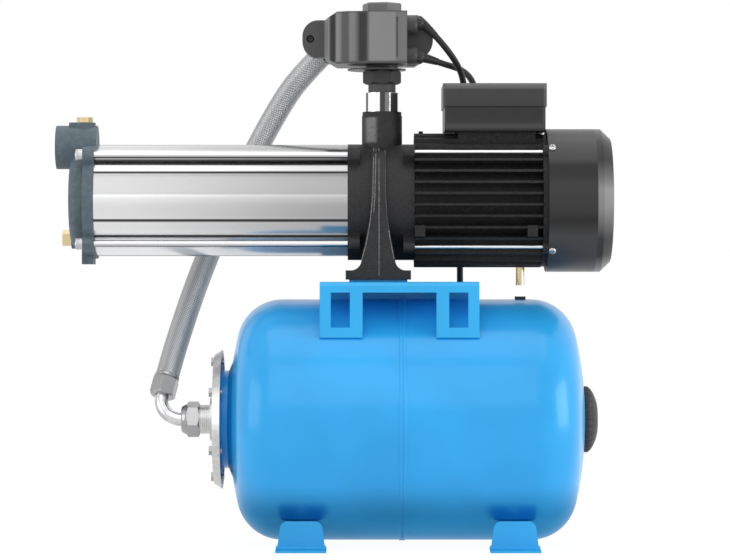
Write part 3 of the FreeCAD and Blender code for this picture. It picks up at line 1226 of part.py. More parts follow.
capacitor = Piece("run_capacitor", at=PUMP)
capacitor.pad("YZ_Plane", [("circle", "0 - box_half / 3", "box_rise + box_wall + capacitor_radius + slide_fit",
                            "capacitor_radius")],
              "(box_left + box_right - capacitor_length) / 2", "(box_left + box_right + capacitor_length) / 2")

# The flow controller on the discharge port, placed from the port's axis
STACK = ("port_x", 0, PUMP_Z)
RIM_TOP = "port_rise + port_rim_height"
ADAPTER_TOP = f"{RIM_TOP} + adapter_height"
INLET_LOW = f"{ADAPTER_TOP} - adapter_depth + 1"

adapter = Piece("port_adapter", at=STACK)
adapter.turned([
    ("inlet_bore", f"{RIM_TOP} - adapter_depth"),
    ("adapter_thread", f"{RIM_TOP} - adapter_depth"),
    ("adapter_thread", RIM_TOP),
    ("adapter_radius", RIM_TOP),
    ("adapter_radius", ADAPTER_TOP),
    ("inlet_radius + slide_fit", ADAPTER_TOP),
    ("inlet_radius + slide_fit", INLET_LOW),
    ("inlet_bore", INLET_LOW),
], about="Z")

union_nut = Piece("union_nut", at=STACK)
union_nut.pad("XY_Plane", [hexagon("0", "0", "union_flats"), ("circle", "0", "0", "inlet_radius + slide_fit")],
              "union_low", "union_low + union_height")

control = Piece("controller_body", at=STACK)
DISC_LOW = "union_low + union_height"
CHAMBER_LOW = "poppet_place - 0.3"
control.turned([
    ("inlet_bore", INLET_LOW),
    ("inlet_radius", INLET_LOW),
    ("inlet_radius", DISC_LOW),
    ("disc_radius * 0.55", DISC_LOW),
    ("disc_radius * 0.55", "control_low + 1"),
    ("inlet_bore", "control_low + 1"),
], about="Z")
control.pad("XY_Plane", [("circle", "disc_x", "0", "disc_radius")], DISC_LOW, f"{DISC_LOW} + disc_thick")
BACK_LEFT = "elbow_port_x + elbow_port_radius + 4"
control.pad("XY_Plane", [[
    ("control_left", "control_back - 4"),
    ("control_left", "0 - control_front * 0.22"),
    ("control_left + 4", "0 - control_front * 0.48"),
    ("control_left + 11", "0 - control_front * 0.56"),
    ("control_left + 17", "0 - control_front * 0.70", "9", 1),
    ("control_left + 35", "0 - control_front * 0.86", "22", 1),
    ("control_left + 50", "0 - control_front", "22", -1),
    ("control_right", "0 - control_front"),
    ("control_right", "control_split"),
    (BACK_LEFT, "control_split"),
    (BACK_LEFT, "control_back - 4"),
]], "control_low", "control_high")
control.cut("XZ_Plane", [
    [("control_left - 1", "control_high - 8"), ("control_left", "control_high - 8"),
     ("control_left + 14", "control_high"), ("control_left + 14", "control_high + 1"),
     ("control_left - 1", "control_high + 1")],
    [("control_left - 1", "control_low + 8"), ("control_left - 1", "control_low - 1"),
     ("control_left + 14", "control_low - 1"), ("control_left + 14", "control_low"),
     ("control_left", "control_low + 8")],
], "0 - control_front - 1", "control_back")
control.cut("XZ_Plane", [rectangle("slit_x", "slit_x + slit_width", "control_low + slit_inset",
                                   "control_high - slit_inset")],
            "0 - control_front - 1", "0 - control_front + slit_width")
control.pad("XZ_Plane", [[
    ("ear_left + ear_corner", "ear_rise + ear_half"),
    ("ear_left", "ear_rise + ear_half"),
    ("ear_left - ear_corner", "ear_rise + ear_half - ear_corner", "ear_corner", 1),
    ("ear_left - ear_corner", "ear_rise - ear_half + ear_corner"),
    ("ear_left", "ear_rise - ear_half", "ear_corner", 1),
    ("ear_left + ear_corner", "ear_rise - ear_half"),
]], "control_split - ear_thick", "control_split")
control.cut("XZ_Plane", [("circle", "ear_left - ear_corner / 2", "ear_rise", "screw_radius")],
            "control_split - ear_thick - 1", "control_split - ear_thick + 4")
control.pad("XZ_Plane", [("circle", "elbow_port_x", "elbow_port_rise", "elbow_port_radius")],
            "control_back - 4", "elbow_port_y + elbow_port_radius")


def slanted(along, aside):
    """A place in the tank port's frame: along its stub, down and to the left, and aside from it."""
    return (f"elbow_port_x - {DIAGONAL} * (({along}) - ({aside}))",
            f"elbow_port_rise - {DIAGONAL} * (({along}) + ({aside}))")


stub = control.sketch("XZ_Plane", [[
    slanted("0", "0"),
    slanted("0", "hose_bore + 2"),
    slanted("elbow_port_reach", "hose_bore + 2"),
    slanted("elbow_port_reach", "0"),
]], "0 - elbow_port_y")
control.add("Revolution", Profile=stub, ReferenceAxis=(stub, ["Edge1"]), Angle=360)
control.cut("XY_Plane", [("circle", "0", "0", "chamber_radius")], CHAMBER_LOW, "control_high + 1")
control.cut("XY_Plane", [("circle", "0", "0", "inlet_bore")], INLET_LOW, f"{CHAMBER_LOW} + 1")

control_cover = Piece("controller_cover", at=STACK)
COVER_LOW = "control_low + 1"
COVER_HIGH = "control_high"
COVER_RIGHT = "control_right + cover_reach"
PANEL_LEFT = f"{BACK_LEFT} + hole_clear"
control_cover.pad("XZ_Plane", [[
    (PANEL_LEFT, COVER_LOW),
    (f"{COVER_RIGHT} - cover_slope", COVER_LOW),
    (COVER_RIGHT, f"{COVER_LOW} + cover_slope * 0.6"),
    (COVER_RIGHT, f"{COVER_HIGH} - cover_slope"),
    (f"{COVER_RIGHT} - cover_slope / 2", COVER_HIGH),
    (PANEL_LEFT, COVER_HIGH),
]], "control_split", "control_back")
control_cover.rounded("cover_wall", lambda edge: edge.BoundBox.YMin > number("control_back") - 0.01)
control_cover.pad("XZ_Plane", [("circle", "ear_right", "ear_rise", "ear_radius")],
                  "control_split", "control_split + ear_thick")
control_cover.cut("XZ_Plane", [rectangle(f"{PANEL_LEFT} + cover_wall", "control_right - cover_wall",
                                         f"{COVER_LOW} + cover_wall", f"{COVER_HIGH} - cover_wall")],
                  "control_split - 1", "control_back - cover_wall")
control_cover.cut("XZ_Plane", [("circle", "button_x", "button_rise", "button_radius + slide_fit")],
                  "control_back - cover_wall - 1", "control_back + 1")

board = Piece("circuit_board", at=STACK)
board.pad("XZ_Plane", [rectangle(f"{PANEL_LEFT} + cover_wall + 0.2", "control_right - cover_wall - 0.2",
                                 f"{COVER_LOW} + cover_wall + 0.2", f"{COVER_HIGH} - cover_wall - 0.2")],
          "control_split + ear_thick", "control_split + ear_thick + 1.6")

button = Piece("restart_button", at=STACK)
button.pad("XZ_Plane", [("circle", "button_x", "button_rise", "button_radius")],
           "control_back - 6", "control_back + button_reach")
button.pad("XZ_Plane", [("circle", "button_x", "button_rise", "button_radius + 1.5")],
           "control_back - 8", "control_back - 6")

outlet_cap = Piece("outlet_cap", at=STACK)
outlet_cap.pad("XY_Plane", [hexagon("0", "0", "outlet_flats", 105)],
               "control_high", "control_high + outlet_height")
outlet_cap.rounded("1.5", lambda edge: edge.BoundBox.ZMin > number("control_high + outlet_height") - 0.01,
                   kind="Chamfer")
outlet_cap.pad("XY_Plane", [("circle", "0", "0", "chamber_radius - slide_fit")],
               "control_high - outlet_plug", "control_high")

poppet = Piece("flow_poppet", at=STACK)
poppet.pad("XY_Plane", [("circle", "0", "0", "poppet_radius")], "poppet_place", "poppet_place + 4")
poppet.pad("XY_Plane", [("circle", "0", "0", "poppet_stem")], "poppet_place - 14", "poppet_place")

GLAND_RIGHT = "control_right + gland_length"
glands = Piece("cable_glands", at=STACK)
for height in ("upper_gland", "lower_gland"):
    glands.pad("YZ_Plane", [("circle", "gland_y", height, "gland_radius")], "control_right", GLAND_RIGHT)
glands.pad("XZ_Plane", [("circle", "box_gland_x - port_x", "box_gland_rise", "gland_radius")],
           "box_half - box_inset", "box_half - box_inset + gland_length")

# The fittings between the tank and the hose
tank_nut = Piece("tank_union_nut", at=("tank_x", 0, TANK_Z))
NUT_RIGHT = minus(plus(FLANGE_FACE, "tank_nut_place"))
NUT_LEFT = f"{NUT_RIGHT} - tank_nut_length"
NIPPLE_END = minus(plus(FLANGE_FACE, "nipple_reach"))
tank_nut.pad("YZ_Plane", [hexagon("0", "0", "tank_nut_flats", 15)], NUT_LEFT, NUT_RIGHT)
tank_nut.turned([
    (f"{NUT_LEFT} - tank_nut_cone", "0"),
    (f"{NUT_LEFT} - tank_nut_cone", "elbow_radius + 1.5"),
    (NUT_LEFT, "elbow_collar"),
    (NUT_LEFT, "0"),
])
tank_nut.turned([
    (f"{NUT_LEFT} - tank_nut_cone - 1", "0"),
    (f"{NUT_LEFT} - tank_nut_cone - 1", "elbow_radius + slide_fit"),
    (f"{NIPPLE_END} - 3", "elbow_radius + slide_fit"),
    (f"{NIPPLE_END} - 3", "nipple_radius + slide_fit"),
    (f"{NUT_RIGHT} + 1", "nipple_radius + slide_fit"),
    (f"{NUT_RIGHT} + 1", "0"),
], cut=True)

ELBOW_X = f"tank_x + {NUT_LEFT} - tank_nut_cone"
elbow = Piece("hose_elbow", at=(ELBOW_X, "elbow_bend * sin(elbow_lean)",
                                f"{TANK_Z} + elbow_bend * cos(elbow_lean)"),
              axis=(1, 0, 0), angle="0 - elbow_lean")
bend = elbow.sketch("YZ_Plane", [("circle", "0", "0 - elbow_bend", "elbow_radius"),
                                 ("circle", "0", "0 - elbow_bend", "elbow_bore")])
elbow.add("Revolution", Profile=bend, ReferenceAxis=(bend, ["H_Axis"]), Angle="elbow_turn")
elbow.pad("YZ_Plane", [("circle", "0", "0 - elbow_bend", "elbow_radius"),
                       ("circle", "0", "0 - elbow_bend", "elbow_bore")],
          "0", f"{NIPPLE_END} - ({NUT_LEFT} - tank_nut_cone)")
elbow.pad("YZ_Plane", [("circle", "0", "0 - elbow_bend", "elbow_collar"),
                       ("circle", "0", "0 - elbow_bend", "elbow_bore")],
          f"{NIPPLE_END} - ({NUT_LEFT} - tank_nut_cone) - 2.8", f"{NIPPLE_END} - ({NUT_LEFT} - tank_nut_cone)")


def elbow_out():
    """The end of the elbow's bend and the way that it points there."""
    turn = math.radians(number("elbow_turn"))
    lean = math.radians(number("elbow_lean"))
    centre = Vector(number(ELBOW_X), number("elbow_bend") * math.sin(lean),
                    number(TANK_Z) + number("elbow_bend") * math.cos(lean))
    up = Vector(0, math.sin(lean), math.cos(lean))
    side = Vector(-1, 0, 0)
    spot = centre + (side * math.sin(turn) - up * math.cos(turn)) * number("elbow_bend")
    return spot, side * math.cos(turn) + up * math.sin(turn)


def tank_port_end():
    """The end of the controller's tank port and the way that it points there."""
    way = Vector(-1, 0, -1).normalize()
    spot = Vector(number("port_x + elbow_port_x"), number("elbow_port_y"),
                  number(f"{PUMP_Z} + elbow_port_rise"))
    return spot + way * number("elbow_port_reach"), way


def hose_nut(name, spot, way):
    """A hexagonal nut that starts at a spot and runs along a way."""
    prism = doc.addObject("Part::Prism", name)
    prism.Polygon = 6
    bind(prism, "Circumradius", "hose_nut_flats / sqrt(3)")
    bind(prism, "Height", "hose_nut_length")
    prism.Placement = FreeCAD.Placement(spot, FreeCAD.Rotation(Vector(0, 0, 1), way))
    return prism


hose_nuts = doc.addObject("Part::Compound", "hose_nuts")
hose_nuts.Label = "hose_nuts"
hose_nuts.Links = [hose_nut("LowerNut", *elbow_out()), hose_nut("UpperNut", *tank_port_end())]
PARTS.append(hose_nuts)


def easy_path(label, points):
    """Straight runs joined by tangent arcs, each arc as large as its two runs allow."""
    edges = []
    radii = []
    last = points[0]
    for before, corner, after in zip(points, points[1:], points[2:]):
        back, ahead = before - corner, after - corner
        half_turn = (math.pi - back.getAngle(ahead)) / 2
        reach = 0.45 * min(back.Length, ahead.Length)
        radius = reach / math.tan(half_turn)
        start = corner + back.normalize() * reach
        end = corner + ahead.normalize() * reach
        inward = (back + ahead).normalize()
        middle = corner + inward * (math.hypot(radius, reach) - radius)
        if (start - last).Length > 1e-6:
            edges.append(Part.LineSegment(last, start).toShape())
        edges.append(Part.Arc(start, middle, end).toShape())
        radii.append(round(radius))
        last = end
    edges.append(Part.LineSegment(last, points[-1]).toShape())
    wire = Part.Wire(edges)
    print(f"{label}: {wire.Length:.0f} mm long, radii {radii}")
    return wire


def swept(label, points, radius, bore=None):
    """A round tube or cable along an easy path, its volume compared with section times length."""
    wire = easy_path(label, points)
    way = points[1] - points[0]

    def run(size):
        ring = Part.Wire(Part.makeCircle(size, points[0], way))
        return wire.makePipeShell([ring], True, False)
    solid = run(radius)
    expected = math.pi * radius ** 2 * wire.Length
    if abs(solid.Volume / expected - 1) > 0.01:
        raise RuntimeError(f"{label} has the wrong volume")
    if bore:
        solid = solid.cut(run(bore))
    return solid


def soft_part(label, shape):
    thing = doc.addObject("Part::Feature", label)
    thing.Label = label
    thing.Shape = shape
    PARTS.append(thing)


def placed(points, behind="0", above="0"):
    """Route points moved back and up by lengths from the sheet."""
    return [Vector(x, y + number(behind), z + number(above)) for x, y, z in points]


low_spot, low_way = elbow_out()
high_spot, high_way = tank_port_end()
hose_ends = [low_spot + low_way * number("hose_nut_length"),
             high_spot + high_way * number("hose_nut_length")]
straight = number("hose_straight")
hose_route = [hose_ends[0], hose_ends[0] + low_way * straight] + placed(HOSE_MIDDLE, above=PUMP_Z)
hose_route += [hose_ends[1] + high_way * straight / 2, hose_ends[1]]
soft_part("braided_hose", swept("braided_hose", hose_route, number("hose_radius"), number("hose_bore")))


def gland_end(rise):
    return Vector(number(f"port_x + {GLAND_RIGHT}"), number("gland_y"), number(f"{PUMP_Z} + {rise}"))


box_gland = Vector(number("box_gland_x"), number("box_half - box_inset + gland_length"),
                   number(f"{PUMP_Z} + box_gland_rise"))
lead_route = [gland_end("lower_gland")] + placed(LEAD_MIDDLE, above=PUMP_Z) + [box_gland]
soft_part("motor_lead", swept("motor_lead", lead_route, number("cable_radius")))

cord_route = [gland_end("upper_gland")] + placed(CORD_HIGH, above=PUMP_Z)
cord_route += placed(CORD_BACK, "tank_radius", TANK_Z) + placed(CORD_LOW, "tank_radius")
cord = swept("mains_cord", cord_route, number("cable_radius"))
tail = swept("mains_cord's tail", placed(TAIL_ROUTE, "tank_radius"), number("cable_radius"))
soft_part("mains_cord", Part.makeCompound([cord, tail]))

coil = Piece("mains_coil", at=("coil_x", "tank_radius + coil_back", 0))
coil.turned([
    ("coil_radius - 2 * cable_radius", "cable_radius / 2"),
    ("coil_radius - 1.5 * cable_radius", "0"),
    ("coil_radius + 1.5 * cable_radius", "0"),
    ("coil_radius + 2 * cable_radius", "cable_radius / 2"),
    ("coil_radius + 2 * cable_radius", "3.5 * cable_radius"),
    ("coil_radius + 1.5 * cable_radius", "4 * cable_radius"),
    ("coil_radius - 1.5 * cable_radius", "4 * cable_radius"),
    ("coil_radius - 2 * cable_radius", "3.5 * cable_radius"),
], about="Z")

tail_x, tail_back, tail_z = TAIL_ROUTE[-1]
plug = Piece("mains_plug", at=(tail_x, f"tank_radius + {tail_back}", tail_z))
RELIEF_END = "plug_relief"
plug.turned([
    ("0", "0"),
    ("0", "cable_radius + 1"),
    (RELIEF_END, "cable_radius + 3"),
    (f"{RELIEF_END} + 6", "plug_body * 0.8"),
    (f"{RELIEF_END} + 10", "plug_body"),
    (f"{RELIEF_END} + plug_length", "plug_body"),
    (f"{RELIEF_END} + plug_length", "0"),
])
plug.pad("YZ_Plane", [("circle", "0 - pin_pitch / 2", "0", "pin_radius"),
                      ("circle", "pin_pitch / 2", "0", "pin_radius")],
         f"{RELIEF_END} + plug_length", f"{RELIEF_END} + plug_length + pin_length")

doc.recompute()
for thing in doc.Objects:
    if "Invalid" in thing.State or "Error" in thing.State:
        raise RuntimeError(f"{thing.Label} failed: {thing.State}")
for part in PARTS:
    if part.Shape.isNull() or not part.Shape.isValid() or not part.Shape.Solids:
        raise RuntimeError(f"{part.Label} has no valid solid")

os.makedirs("parts", exist_ok=True)
for part in PARTS:
    part.Shape.exportStep(f"parts/{part.Label}.step")
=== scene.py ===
"""The looks of a booster pump station: a multistage pump and its motor on a blue pressure tank.

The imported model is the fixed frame. Each piece here sits on it in metres, +Z up, with the floor at
z = 0 and the pump's axis along +X. Turned outlines and the places in a finish are in millimetres.
"""

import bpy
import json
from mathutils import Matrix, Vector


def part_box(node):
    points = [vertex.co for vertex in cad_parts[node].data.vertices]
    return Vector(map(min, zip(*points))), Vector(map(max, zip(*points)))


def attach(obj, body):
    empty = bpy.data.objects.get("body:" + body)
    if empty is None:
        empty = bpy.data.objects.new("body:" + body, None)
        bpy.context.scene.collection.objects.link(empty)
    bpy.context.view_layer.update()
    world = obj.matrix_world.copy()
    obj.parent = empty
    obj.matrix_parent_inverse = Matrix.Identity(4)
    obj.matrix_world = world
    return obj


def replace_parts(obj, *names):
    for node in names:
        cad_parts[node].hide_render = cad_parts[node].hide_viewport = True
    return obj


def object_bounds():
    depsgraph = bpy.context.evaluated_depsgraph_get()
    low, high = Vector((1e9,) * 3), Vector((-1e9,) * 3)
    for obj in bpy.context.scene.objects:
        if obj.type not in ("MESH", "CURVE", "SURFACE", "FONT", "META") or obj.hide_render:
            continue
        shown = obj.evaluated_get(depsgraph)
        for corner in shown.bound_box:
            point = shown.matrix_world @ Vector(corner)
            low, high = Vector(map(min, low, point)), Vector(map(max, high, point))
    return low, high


bl_info = {
    "name": "Booster Pump Station",
    "version": (1, 0, 0),
    "blender": (4, 5, 0),
    "location": "View3D > Sidebar > Booster",
    "description": "Finishes and fine pieces of a booster pump station",
    "category": "Object",
}

import json
import math

import bmesh
import bpy
import numpy as np
from bpy.props import FloatProperty, FloatVectorProperty, IntProperty, PointerProperty
from bpy.types import Operator, Panel, PropertyGroup
from mathutils import Vector
from mathutils.bvhtree import BVHTree

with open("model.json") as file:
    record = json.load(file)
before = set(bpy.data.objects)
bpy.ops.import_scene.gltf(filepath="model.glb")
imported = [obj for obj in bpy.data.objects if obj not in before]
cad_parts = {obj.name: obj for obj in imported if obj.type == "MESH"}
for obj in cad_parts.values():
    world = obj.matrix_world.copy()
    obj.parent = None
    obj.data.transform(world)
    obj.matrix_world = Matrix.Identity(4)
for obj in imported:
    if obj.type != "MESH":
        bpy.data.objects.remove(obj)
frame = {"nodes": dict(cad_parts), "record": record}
CAD_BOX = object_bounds()
MM = 0.001
TURN = 2 * math.pi
X_AXIS = (1, 0, 0)
Y_AXIS = (0, 1, 0)
Z_AXIS = (0, 0, 1)


def centre_of(node):
    """The middle of a node's box."""
    low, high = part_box(node)
    return (low + high) / 2


# Places that the frame gives, in metres
PUMP_AXIS = centre_of("pump_sleeve")
TANK_AXIS = centre_of("tank_flange")
PORT_AXIS = centre_of("port_adapter").x
BODY_LOW, BODY_HIGH = (corner.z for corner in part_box("controller_cover"))

# Routes of the hose and the cables, given as points, in metres
HOSE_ROUTE = [
    (-0.2779, 0.0214, 0.1903), (-0.2696, 0.0379, 0.2257), (-0.239, 0.079, 0.322), (-0.192, 0.09, 0.43),
    (-0.143, 0.082, 0.52), (-0.115, 0.066, 0.552), (-0.1009, 0.066, 0.5661),
]
LEAD_ROUTE = [
    (0.0167, 0.002, 0.561), (0.031, 0.008, 0.5575), (0.043, 0.022, 0.5545), (0.054, 0.038, 0.5525),
    (0.065, 0.054, 0.5495), (0.074, 0.068, 0.5435), (0.08, 0.081, 0.534), (0.0835, 0.093, 0.5195),
    (0.084, 0.097, 0.503), (0.084, 0.09, 0.491), (0.084, 0.0785, 0.4852), (0.084, 0.0655, 0.4845),
]
CORD_ROUTE = [
    (0.0167, 0.002, 0.6005), (0.03, 0.0025, 0.5885), (0.042, 0.007, 0.5755), (0.053, 0.015, 0.562),
    (0.061, 0.028, 0.55), (0.066, 0.046, 0.538), (0.0685, 0.064, 0.519), (0.069, 0.079, 0.488),
    (0.068, 0.088, 0.448), (0.066, 0.094, 0.403), (0.064, 0.098, 0.358), (0.064, 0.104, 0.314),
    (0.065, 0.117, 0.27), (0.068, 0.134, 0.228), (0.07, 0.146, 0.184), (0.071, 0.1505, 0.14),
    (0.071, 0.151, 0.096), (0.0695, 0.152, 0.058), (0.062, 0.155, 0.029), (0.044, 0.1572, 0.01),
    (0.022, 0.1576, 0.0037), (0.004, 0.1578, 0.0037),
]
TAIL_ROUTE = [(0.032, 0.247, 0.0111), (0.052, 0.251, 0.017), (0.072, 0.252, 0.019)]

# The cord's turns: angles in degrees, points in a turn, and lanes and heights in radii of the cable
COIL_START = -92
COIL_END = 67 - 4 * 360
COIL_POINTS = 16
COIL_LANES = ([0, 0.22, 0.28, 0.72, 0.78, 1], [1, 1, -1, -1, 1, 1])
COIL_HEIGHTS = ([0, 0.47, 0.53, 1], [1, 1, 3, 3])

# Ridges of the cast bracket in its front view, as x and z, in metres
RIDGES = [
    [(-0.0325, 0.4545), (-0.0325, 0.33), (-0.0325, 0.309)],
    [(-0.0382, 0.4545), (-0.0395, 0.40), (-0.0425, 0.37), (-0.047, 0.345), (-0.0525, 0.326)],
    [(-0.0358, 0.4545), (-0.0372, 0.40), (-0.0385, 0.381)],
    [(-0.0255, 0.452), (-0.0255, 0.404), (-0.0239, 0.378), (-0.02, 0.351), (-0.0157, 0.328)],
]
RIDGE_RADIUS = 0.55 * MM
RIDGE_ROWS = 60
RIDGE_BLUR = 5
SIGHT_MARGIN = 100 * MM

# Screws, with the rings that their middles lie on
ROD_RING = 71 * MM
ROD_HEAD_SEAT = 7 * MM
ROD_HEAD = {"radius": 6.7 * MM, "height": 8.2 * MM, "flats": 5 * MM, "depth": 1 * MM}
COVER_SCREW_RING = 82 * MM
COVER_SCREW = {"radius": 4.5 * MM, "height": 2.6 * MM, "depth": 1.8 * MM}
EAR_SCREW = {"radius": 3.7 * MM, "height": 2.2 * MM, "depth": 1.4 * MM}
EAR_INSET = 9.2 * MM
EAR_FRONT = -0.4 * MM
EAR_HEIGHT = 581.5 * MM

# Nuts and threads
HOSE_NUT = {"flats": 27 * MM, "length": 22 * MM, "bore": 8 * MM, "lead": math.radians(12)}
ELBOW_NUT = {"flats": 36 * MM, "bore": 16.9 * MM, "lead": math.radians(17)}
ELBOW_NUT_STEP = 6 * MM
UNION_NUT = {"flats": 38 * MM, "bore": 15.5 * MM, "lead": math.radians(30)}
NUT_ROWS = [0, 0.02, 0.05, 0.09, 0.14, 0.2, 0.8, 0.86, 0.91, 0.95, 0.98, 1]
CHAMFER_START = 0.98
CHAMFER_SLOPE = 1.732
NIPPLE_LENGTH = 9.5 * MM
NIPPLE_RADIUS = 16.75 * MM
THREAD_DEPTH = 1.1 * MM
THREAD_OVERLAP = 1 * MM

# Cable glands and their tapered strain reliefs
GLAND_SIDE = 3 * MM
GLAND_HEIGHTS = (598.4 * MM, 562.6 * MM)
GLAND_REACH = 16.7 * MM
GLAND_FLUTES = 12
RELIEF_STEP = 1 * MM
RELIEF_ROWS = 24
RELIEF_SHOULDER = 4 * MM
RELIEF_RADIUS = 5.6 * MM
RELIEF_SHOULDER_RADIUS = 5.4 * MM
RELIEF_CLEARANCE = 0.15 * MM
RELIEF_RIB = 0.25 * MM

# Hose, motor lead, valve cap and weld seam
HOSE_STEP = 2.5 * MM
HOSE_SIDES = 64
BRAID_CLEARANCE = 0.4 * MM
LEAD_STEP = 2 * MM
LEAD_SIDES = 20
CAP_TEETH = 28
CAP_CROWN = 0.42
CAP_RECESS = 0.8 * MM
CAP_WALL = 1 * MM
SEAM_HALF_WIDTH = 2.4 * MM
SEAM_SINK = 0.35 * MM
SEAM_RISE = 0.75 * MM
SEAM_RIPPLE_RISE = 0.35 * MM
SEAM_MARGIN = 0.9 * MM

# Turned outlines: place along the axis and radius, in millimetres
HOSE_COLLAR = [(0, 9), (0, 13.6), (0.8, 14.4), (3.6, 14.5), (4.2, 14), (4.6, 13), (0, 9)]
ELBOW_CONE = [(0, 11), (0, 14), (1.2, 15.4), (4.5, 17.2), (6.5, 17.6), (7.5, 17.6), (7.5, 11), (0, 11)]
GLAND_SOCKET = [(0, 0), (0, 10.4), (8.4, 10.4), (12, 9.2), (12.4, 8.4), (12.4, 0)]
GLAND_NUT = [(12.4, 7), (12.4, 7.8), (16.2, 7.8), (17, 7.2), (18.8, 6), (20.2, 4.2), (20.2, 0)]

# Painted light and shade of banded finishes, as tones: place along an axis in millimetres, and how light it
# is there
CONTROLLER_PAINTED_LIGHT = [
    (-120, 0.3), (-96, 0.28), (-94, 1.0), (-90, 1.0), (-87.5, 0.06), (-83, 0.05), (-80.5, 1.0),
    (-77, 0.9), (-74, 0.32), (-68, 0.35), (-65, 0.85), (-60, 0.8), (-54, 0.1), (-47, 0.05),
    (-42.5, 0.95), (-14, 0.9), (-13, 0.62), (-1.5, 0.68), (0, 0.25),
]
COVER_SIDE_PAINTED_LIGHT = [
    (-82, 1.0), (-62, 0.85), (-44, 1.0), (-32, 0.45), (-25, 0.15), (-14, 0.5), (0, 0.6), (16, 0.5),
    (26, 0.12), (38, 0.1), (45, 0.75), (82, 0.95),
]
COVER_BEVEL_PAINTED_LIGHT = [
    (-82, 0.9), (-64, 0.05), (-45, 0.1), (-24, 0.6), (-10, 0.9), (10, 1.0), (24, 0.5), (44, 0.05),
    (66, 0.03), (82, 0.5),
]
ADAPTER_REFLECTION_STRIPES = [
    (-18.6, 0.05), (-16.6, 0.05), (-15.6, 1.0), (-3, 1.0), (-2.2, 0.06), (3, 0.06), (3.8, 0.22),
    (8.0, 0.13), (10.5, 0.45), (15.6, 0.9), (16.6, 0.1), (18.6, 0.1),
]
LID_PAINTED_LIGHT = [(501, 0.1), (503, 0.27), (520, 0.32), (521, 0.36), (522.4, 1.0), (528, 1.0)]
BOX_PAINTED_LIGHT = [(473, 0.3), (474.2, 0.55), (479, 0.5), (484, 0.14), (492, 0.1), (501.5, 0.13)]

# Painted highlights, reflections and shade of a finish as spots and lines, and a speckle: the middle of each
# and its reach, on the axis that its function names
PAINTED_GLINT_X = (-41.5, 9)
BOX_RIM_HIGHLIGHTS = [(41.5, 3.4), (155.5, 3.4)]
SLEEVE_ROD_REFLECTIONS = [(30.3, 2.2), (-24.1, 2.4), (44.6, 2.4), (-41.5, 2.2)]
SLEEVE_SOFT_SHADE = (-14, 14)
ROD_UNDERSIDE_SHADE = (-4, 3)
ADAPTER_SPECKLE = (9, 6)

# Slopes and bands of a finish, which place its painted light and shade: where each begins and is whole, and
# where a band then falls and ends
PAINTED_GLINT_Z = (460, 464, 489, 492)
BEVEL_X = (213.5, 214.5, 233.5, 234.5)
SLEEVE_LAMP_BAND_SHADE = (3, 6.5, 27, 30)
SLEEVE_RIM_SHADE = (62.4, 63.4)
SLEEVE_LOW = (-52, -30)
SLEEVE_DULL = (-46, -26)
SLEEVE_ENDS = (-360, -50)
SLEEVE_MIDDLE = 3
SLEEVE_OUTSIDE = (24, 30)
# Heights in millimetres of the painted shade on the tank's lower side
TANK_PAINTED_SHADE = (38, 82)

# Camera, floor and light; each lamp has its name, place, size and power in watts
CAMERA_PLACE = (-0.0483, -3.5, 0.3046)
CAMERA_LENS = 150.1
SENSOR_WIDTH = 36
VIEW_END = 30
FLOOR_HALF = 6
FLOOR_DROP = 0.1 * MM
FLOOR_TONE = 0.86
FLOOR_GLOW = 1.045
GLOW_SHARE = 0.92
WORLD_LIGHT = 0.55
LAMP_AIM = (0.0, 0.0, 0.3)
LAMPS = [
    ("key", (-0.4, -1.9, 1.5), 1.7, 9.5),
    ("top", (0.0, 0.0, 2.2), 2.2, 16),
    ("left", (-1.9, -0.8, 0.55), 1.2, 8),
    ("right", (1.9, -0.7, 0.5), 1.1, 16),
]


def length_property(name, description, millimetres):
    """A length that a user may change."""
    return FloatProperty(name=name, description=description, default=millimetres * MM, unit="LENGTH")


class BoosterSizes(PropertyGroup):
    """Sizes of the fine pieces."""
    cable: length_property("Cable", "Diameter of the cables", 7.4)
    hose: length_property("Hose", "Diameter of the braided hose", 28)
    coil: length_property("Coil", "Radius at the middle of the cord's turns", 40.7)
    carriers: IntProperty(name="Carriers", description="Strands of the braid in one direction", default=30)
    pitch: length_property("Thread pitch", "Pitch of a G 1 thread", 2.31)
    seam_ripple: length_property("Seam ripple", "Distance between the weld's ripples", 2.2)


def paint_property(name, description, default):
    """A colour that a user may change."""
    return FloatVectorProperty(name=name, description=description, subtype="COLOR", size=3, min=0, max=1,
                               default=default)


class BoosterColours(PropertyGroup):
    """Colours of the painted and moulded pieces, as linear light."""
    tank: paint_property("Tank", "Sky blue of the tank", (0.024, 0.38, 0.82))
    neck: paint_property("Neck", "Dark blue of the tank's neck", (0.01, 0.34, 0.9))
    support: paint_property("Supports", "Blue of the platform and the feet", (0.03, 0.42, 0.9))
    suction: paint_property("Suction head", "Grey green of the suction casting", (0.08, 0.115, 0.135))
    bracket: paint_property("Bracket", "Black of the discharge casting", (0.02, 0.02, 0.022))
    motor: paint_property("Motor", "Black of the motor", (0.021, 0.0205, 0.0205))
    cover: paint_property("Fan cover", "Black of the fan cover", (0.032, 0.0315, 0.032))
    box: paint_property("Terminal box", "Black of the terminal box and its lid", (0.026, 0.026, 0.027))
    controller: paint_property("Controller", "Dark grey of the controller", (0.22, 0.22, 0.222))
    cable: paint_property("Cable", "Black of the cables", (0.02, 0.02, 0.021))


